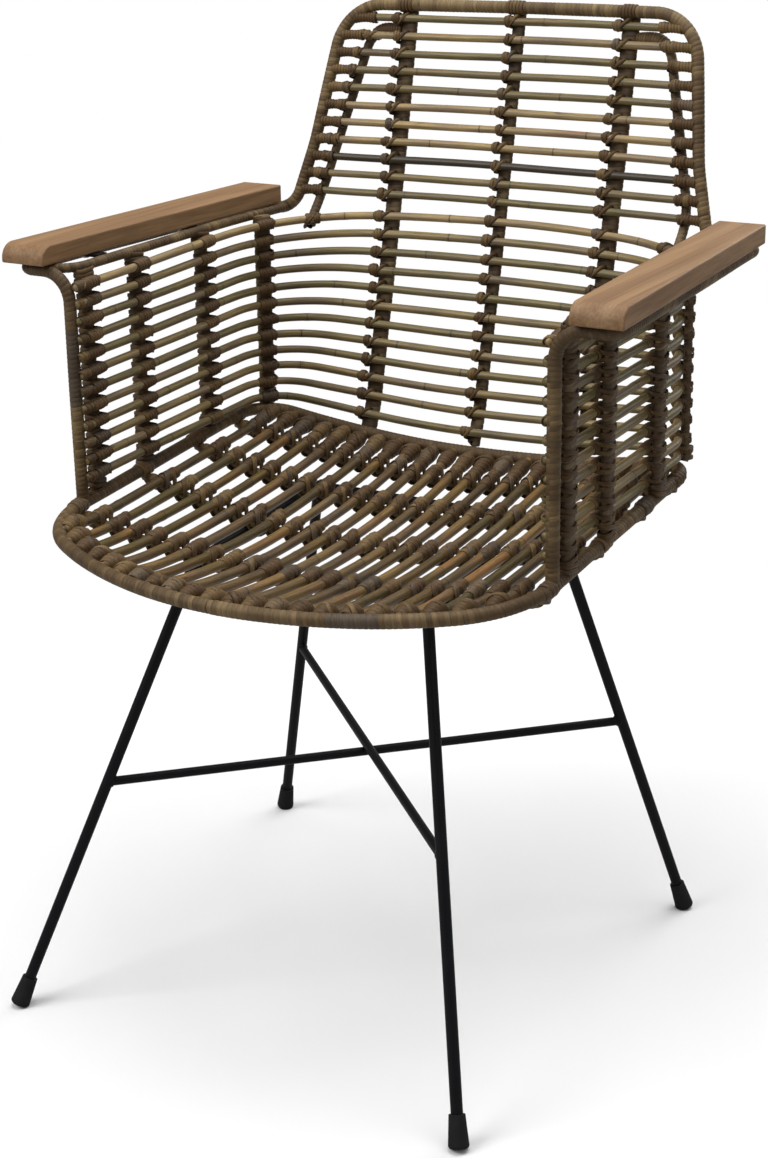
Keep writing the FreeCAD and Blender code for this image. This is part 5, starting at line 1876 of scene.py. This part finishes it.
@dataclass
class Arms:
    """Wrap-round canes, wound loops, rails and stakes, and their lashings."""

    shop: Workshop
    seed: int = 37
    wrap_tones: tuple = (0.78, 0.55, 0.42, 0.36, 0.46, 0.50, 0.40, 0.52, 0.44, 0.48, 0.58, 0.40)
    wrap_hues: tuple = (0.9, 0.55, 0.20, 0.35, 0.15, 0.50, 0.25, 0.45, 0.35, 0.60, 0.50, 0.30)
    left_patches: tuple = ((0.19, 0.33, -0.25),)
    stake_strip: float = 0.0050
    stake_thickness: float = 0.0005
    stake_tones: Range = (0.05, 0.55)
    stake_samples: int = 60
    tie_strip: Strip = Strip(0.0042, 0.0007, 0.4)
    tie_tones: Range = (0.05, 0.5)
    tie_lean: float = 0.6
    hug: float = 1.9
    corner_hug: float = 1.6
    sleeve_strip: Strip = Strip(0.0046, 0.0007, 0.3)
    sleeve_tones: Range = (0.05, 0.6)
    sleeve_pitch: float = 0.0038
    sleeve_cover: float = 0.0001
    sleeve_lead: float = 0.002
    sleeve_spreads: Range = (-0.001, 0.001)
    sleeve_rooms: Range = (0.004, 0.007)
    sleeve_bulges: Range = (0.0008, 0.0016)
    front_inset: float = 0.0052
    front_coil: tuple = (2.6, 0.0001, 0.0006)
    end_bands: tuple = ((0.009, 2.6), (-0.007, 2.4))
    band_gap: float = 0.0034
    band_room: Range = (0.0006, 0.0012)
    band_tilts: Range = (-0.002, 0.002)

    def __post_init__(self) -> None:
        """Sets up the random source and what winds the ties and the sleeves."""
        self.rng = np.random.default_rng(self.seed)
        self.ties = Lashing(self.rng, self.tie_strip, self.tie_tones, lean=self.tie_lean)
        self.sleeves = Lashing(self.rng, self.sleeve_strip, self.sleeve_tones)

    def build(self) -> None:
        """Makes the arms' pieces."""
        lines, shop = self.shop.lines, self.shop
        looks = zip(shop.wraps, self.wrap_tones, self.wrap_hues)
        for number, (line, tone, hue) in enumerate(looks, start=1):
            sheaf, name = Sheaf(), f"wrap_cane_{number}"
            Cane(lines.wrap_cane_dia).lay(sheaf, line, self.rng, tone, hue)
            sheaf.piece(f"{name}_cane", Slot.RATTAN, shop.material(shop.cane), name)
        for side, sign in SIDES:
            self.rods(side, sign)
            self.lash(side, sign, self.stakes(side, sign))

    def rods(self, side: str, sign: float) -> None:
        """Makes the pieces of an arm's wound loop and inner rail.

        Args:
            side: the side's name.
            sign: -1 on the left, 1 on the right.
        """
        lines, shop = self.shop.lines, self.shop
        options = {"carried": True, "patches": self.left_patches if sign < 0 else ()}
        loop, rail = Winding(lines.hoop_rod_dia / 2), Winding(lines.arm_rail_dia / 2, sides=14)
        shop.wind(f"arm_loop_{side}", Slot.WRAP, loop, shop.loops[side], self.rng, FORWARD, **options)
        shop.wind(f"arm_rail_{side}", Slot.WRAP, rail, shop.rails[side], self.rng, UP)

    def stakes(self, side: str, sign: float) -> list[Line]:
        """Makes the pieces of an arm's wound stakes.

        Args:
            side: the side's name.
            sign: -1 on the left, 1 on the right.

        Returns:
            Their centre lines, the corner stake's last.
        """
        lines = self.shop.lines
        corner, front, wide = lines.corner_stake(0), -lines.arm_front_reach, lines.arm_stake_half_width()
        spots = [
            (f"arm_stake_{side}_{number}", sign * wide, front + (corner[1] - front) * share, point(0, 1, 0))
            for number, share in enumerate(lines.arm_stake_shares, start=1)
        ]
        along = unit(point(-sign * corner[0], wide * 2, 0))
        spots.append((f"corner_stake_{side}", sign * corner[0], corner[1], along))
        winding = wound_pair(lines.stake_dia, self.stake_strip, self.stake_thickness, self.stake_tones)
        made = []
        for name, x, y, along in spots:
            foot, top = point(x, y, lines.rim_plane(y)), point(x, y, lines.rail_level())
            made.append(Line(np.linspace(foot, top, self.stake_samples)))
            self.shop.wind(name, Slot.STAKE, winding, made[-1], self.rng, np.cross(along, UP))
        return made

    def lash(self, side: str, sign: float, stakes: list[Line]) -> None:
        """Makes the ties at every crossing of an arm, and the sleeves on its canes.

        Args:
            side: the side's name.
            sign: -1 on the left, 1 on the right.
            stakes: the stakes' centre lines, the corner stake's last.
        """
        lines, wraps, rng = self.shop.lines, self.shop.wraps, self.rng
        half, radius = lines.stake_dia / 2, lines.wrap_cane_dia / 2
        pitch = self.sleeve_pitch
        sheaf = Sheaf()
        for stake in stakes:
            foot = stake.places[0]
            reach = half * (self.corner_hug if stake is stakes[-1] else self.hug)
            for cane in wraps:
                kept = np.nonzero(np.sign(cane.places[:, 0]) == sign)[0]
                gaps = np.linalg.norm(cane.places[kept, :2] - foot[:2], axis=1)
                run = float(cane.run[kept[np.argmin(gaps)]])
                centre = point(foot[0], foot[1], cane.at(run)[2])
                self.ties.tie(sheaf, centre, UP, cane, run, reach, half, radius)
                middle = run + sign * self.sleeve_lead + rng.uniform(*self.sleeve_spreads)
                turns = (2 * reach + rng.uniform(*self.sleeve_rooms)) / pitch
                spec = (turns, self.sleeve_cover, rng.uniform(*self.sleeve_bulges), pitch)
                self.sleeves.coil(sheaf, cane, middle, radius, spec, ease=FULL_BULGE)
        for cane in wraps:
            inside = self.front_inset if sign < 0 else cane.length - self.front_inset
            self.sleeves.coil(sheaf, cane, inside, radius, (*self.front_coil, pitch))
        axes = (point(0, 1, 0), point(1, 0, 0), UP)
        wide, deep = (size + room for size, room in zip((half * 2, half), self.band_room))
        for stake in stakes:
            for height, turns in self.end_bands:
                centre = stake.at(height % stake.length)
                for level in np.linspace(-turns / 2, turns / 2, 3):
                    spot = centre + UP * level * self.band_gap
                    tilt = float(rng.uniform(*self.band_tilts))
                    self.ties.loop(sheaf, spot, axes, wide, deep, tilt)
        self.shop.bind(f"arm_{side}_lashings", sheaf)


@dataclass
class SteelBase:
    """Finishes of the steel rod base and the weld beads on its joints."""

    shop: Workshop
    paint: PaintFinish = PaintFinish("black_steel")
    rubber: PaintFinish = PaintFinish(
        "foot_rubber", (0.009, 0.009, 0.010), (0.024, 0.024, 0.023), 0.72, 0.0,
        orange_peel=0.00009, grain_scale=1400.0, specular=0.2,
    )
    fillet: Strip = Strip(0.0034, 0.0012)
    painted: tuple = (
        "frame_side", "frame_front", "frame_rear", "leg_", "brace_", "frame_tabs", "armrest_tabs",
    )
    bead_sides: int = 40
    bead_ripples: int = 13
    bead_ripple: float = 0.0001
    rod_dia: float = 0.010
    brace_dia: float = 0.008
    brace_height: float = 0.205
    foot_half_depth: float = 0.226
    foot_half_widths: tuple = (0.223, 0.228)
    bar_half_widths: tuple = (0.115, 0.124)
    front_reach: float = 0.075
    rear_setback: float = 0.145

    def build(self, nodes: dict) -> None:
        """Dresses the base's CAD nodes and adds the welds.

        Args:
            nodes: the frame's objects by name.
        """
        paint, rubber = self.paint.material(), self.rubber.material()
        for name, node in nodes.items():
            if name.startswith(self.painted):
                dress(node, paint)
            elif name.startswith("foot_cap"):
                dress(node, rubber)
        sheaf = Sheaf()
        for rod, other in self.joints():
            self.bead(sheaf, rod, other)
        sheaf.piece("weld_beads", Slot.STEEL, paint)

    def bar_point(self, sign: float, y: float) -> Array:
        """A place on the centre line of a side bar.

        Args:
            sign: -1 on the left, 1 on the right.
            y: its setback.

        Returns:
            The place.
        """
        lines = self.shop.lines
        stack = (lines.crossbar_dia + self.rod_dia) / 2 + lines.fit_clearance + lines.crossbar_drop()
        spots = [lines.crossbar_setback(share) for share in lines.crossbar_shares[:2]]
        low, high = (lines.seat_height(self.half_width(place), place) - stack for place in spots)
        height = low + (high - low) * (y - spots[0]) / (spots[1] - spots[0])
        return point(sign * self.half_width(y), y, height)

    def half_width(self, y: float) -> float:
        """The side bars spread a little towards the rear."""
        front, rear = self.bar_half_widths
        return front + (rear - front) * (y + self.front_reach) / (self.rear_setback + self.front_reach)

    def joints(self) -> list[tuple[tuple, tuple]]:
        """The welded joints of the rods.

        Returns:
            For each one, (end, direction, radius) of the rod that ends and of the rod that it meets.
        """
        made, legs = [], {}
        thick, thin = self.rod_dia / 2, self.brace_dia / 2
        bars = {sign: unit(self.bar_point(sign, 1.0) - self.bar_point(sign, 0.0)) for _, sign in SIDES}
        for top_y, foot_y, wide in (
            (-self.front_reach, -self.foot_half_depth, self.foot_half_widths[0]),
            (self.rear_setback, self.foot_half_depth, self.foot_half_widths[1]),
        ):
            for _, sign in SIDES:
                top, floor = self.bar_point(sign, top_y), point(sign * wide, foot_y, 0)
                legs[sign, foot_y > 0] = (floor, unit(top - floor))
                made.append(((top, unit(floor - top), thick), (top, bars[sign], thick)))
                made.append(((top, point(-sign, 0, 0), thick), (top, bars[sign], thick)))
        for sign, shift in ((1.0, thin), (-1.0, -thin)):
            ends = []
            for key in ((sign, False), (-sign, True)):
                floor, up = legs[key]
                ends.append((floor + up * ((self.brace_height + shift) / up[2]), up))
            for here, there in (ends, ends[::-1]):
                made.append(((here[0], unit(there[0] - here[0]), thin), (here[0], here[1], thick)))
        return made

    def bead(self, sheaf: Sheaf, rod: tuple, other: tuple) -> None:
        """Adds the rippled weld round the end of a rod where it meets another.

        Args:
            sheaf: where it goes.
            rod: end, direction and radius of the rod that ends.
            other: a place, the direction and the radius of the rod that it meets.
        """
        end, along, radius = rod
        base, axis, reach = other
        first = unit(np.cross(along, axis))
        second = np.cross(along, first)
        angle = circle(self.bead_sides)
        out = np.outer(np.cos(angle), first) + np.outer(np.sin(angle), second)
        start = end - base + out * radius
        start = start - np.outer(start @ axis, axis)
        lean = along - axis * np.dot(along, axis)
        square, double = float(lean @ lean), start @ lean
        spare = np.maximum(double**2 - square * (np.sum(start * start, axis=1) - reach**2), 0)
        run = (-double + np.sqrt(spare)) / square
        places = end + out * radius + np.outer(run, along)
        away = places - base
        away = unit(away - np.outer(away @ axis, axis))
        outward = unit(out + away)
        places = places + outward * (self.bead_ripple * np.sin(angle * self.bead_ripples))[:, None]
        self.fillet.lay(sheaf, places, outward, tone=0.5, hue=0.5, offset=0.0)


@dataclass
class Armrests:
    """Finishes of the armrest boards and the screws."""

    wood: WoodFinish = WoodFinish("armrest_wood")
    screw: PaintFinish = PaintFinish(
        "screw_steel", (0.46, 0.45, 0.43), (0.33, 0.32, 0.31), 0.34, 1.0,
        orange_peel=0.00002, grain_scale=1200.0, specular=0.5,
    )

    def build(self, nodes: dict) -> None:
        """Dresses the boards and the screws.

        Args:
            nodes: the frame's objects by name.
        """
        wood, screw = self.wood.material(), self.screw.material()
        for name, node in nodes.items():
            if name.startswith("armrest_board"):
                dress(node, wood)
            elif name.endswith("_screws"):
                dress(node, screw)


def dress(node: bpy.types.Object, material: Material) -> None:
    """Gives a CAD node its finish.

    Args:
        node: the node's object.
        material: the finish.
    """
    node.data.materials.clear()
    node.data.materials.append(material)


@dataclass
class Studio:
    """Pale floor, white surroundings, soft lamps and the camera."""

    eye: Triple = (0.89843, -1.53016, 1.00942)
    azimuth: float = 31.4486
    elevation: float = 19.6251
    roll: float = -1.3437
    lens: float = 66.03
    sensor: float = 36.0
    shift: Range = (0.0352, -0.0178)
    surroundings: float = 0.22
    floor_size: float = 30.0
    floor_clouds: tuple = ((0.93, 0.93, 0.93), (0.95, 0.95, 0.95))
    floor_fade: Range = (0.45, 1.15)
    floor_return: float = 0.50
    lamp_aim: Triple = (0.0, 0.0, 0.45)
    lamps: tuple = (
        ("key_lamp", (-1.5, -2.0, 2.6), 1.8, 62.0),
        ("top_lamp", (0.2, 0.3, 3.0), 2.0, 66.0),
        ("side_lamp", (2.4, -0.8, 1.5), 1.4, 5.0),
        ("rear_lamp", (0.6, 2.6, 1.8), 2.0, 24.0),
    )

    def build(self) -> None:
        """Sets up the scene round the chair."""
        self.world()
        self.floor()
        for name, place, size, power in self.lamps:
            self.lamp(name, place, size, power)
        self.camera()
        bpy.context.scene.view_settings.view_transform = "Standard"

    def world(self) -> None:
        """White to the camera, softer as a light."""
        world = bpy.data.worlds.new("surroundings")
        bpy.context.scene.world = world
        graph = Graph(world)
        level = graph.add("ShaderNodeLightPath", {}, {}).spread(self.surroundings, 1.0)
        light = graph.add("ShaderNodeBackground", {}, {"Color": (1.0, 1.0, 1.0), "Strength": level})
        graph.close(light, "ShaderNodeOutputWorld")

    def floor(self) -> None:
        """A wide pale floor that keeps the chair's shadow."""
        half = self.floor_size / 2
        mesh = bpy.data.meshes.new("floor")
        corners = [(-half, -half, 0.0), (half, -half, 0.0), (half, half, 0.0), (-half, half, 0.0)]
        mesh.from_pydata(corners, [], [(0, 1, 2, 3)])
        graph = Graph(bpy.data.materials.new("floor"))
        place = graph.add("ShaderNodeTexCoord", {}, {}, output=3)
        cloud = graph.noise(place, 3.0)
        colour = graph.mix(cloud, *self.floor_clouds)
        seen = graph.add("ShaderNodeLightPath", {}, {})
        colour = graph.mix(seen, (self.floor_return,) * 3, colour)
        matt = {"Base Color": colour, "Roughness": 0.9, "Specular IOR Level": 0.1}
        pale = graph.add("ShaderNodeBsdfPrincipled", {}, matt)
        glow = graph.add("ShaderNodeEmission", {}, {"Color": (1.0, 1.0, 1.0), "Strength": 1.0})
        away = graph.add("ShaderNodeVectorMath", {"operation": "LENGTH"}, {0: place}, output=1)
        share = away.between(*self.floor_fade) * seen
        shader = graph.add("ShaderNodeMixShader", {}, {0: share, 1: pale, 2: glow})
        mesh.materials.append(graph.close(shader))
        floor = bpy.data.objects.new("floor", mesh)
        bpy.context.scene.collection.objects.link(floor)

    def lamp(self, name: str, place: Triple, size: float, power: float) -> None:
        """A square soft lamp aimed at the chair.

        Args:
            name: its name.
            place: where it stands.
            size: its edge.
            power: its power in watts.
        """
        data = bpy.data.lights.new(name, "AREA")
        data.shape = "SQUARE"
        data.size = size
        data.energy = power
        lamp = bpy.data.objects.new(name, data)
        bpy.context.scene.collection.objects.link(lamp)
        lamp.location = place
        aim = Vector(self.lamp_aim) - Vector(place)
        lamp.rotation_euler = aim.to_track_quat("-Z", "Y").to_euler()

    def camera(self) -> None:
        """The camera from which the chair is shown."""
        data = bpy.data.cameras.new("camera")
        data.lens = self.lens
        data.sensor_width = self.sensor
        data.shift_x, data.shift_y = self.shift
        camera = bpy.data.objects.new("camera", data)
        bpy.context.scene.collection.objects.link(camera)
        turn, tip, roll = (math.radians(angle) for angle in (self.azimuth, self.elevation, self.roll))
        ahead = -Vector((math.sin(turn) * math.cos(tip), -math.cos(turn) * math.cos(tip), math.sin(tip)))
        right = Vector((math.cos(turn), math.sin(turn), 0.0))
        above = right.cross(ahead)
        across = math.cos(roll) * right + math.sin(roll) * above
        upward = -math.sin(roll) * right + math.cos(roll) * above
        matrix = Matrix((across, upward, -ahead)).transposed().to_4x4()
        matrix.translation = Vector(self.eye)
        camera.matrix_world = matrix
        bpy.context.scene.camera = camera


def main() -> None:
    """Builds the chair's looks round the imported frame."""
    logging.basicConfig(level=logging.INFO, format="%(name)s: %(message)s")
    shop = Workshop()
    Seat(shop).build()
    Back(shop).build()
    Arms(shop).build()
    SteelBase(shop).build(frame["nodes"])
    Armrests().build(frame["nodes"])
    Studio().build()


if __name__ == "__main__":
    main()
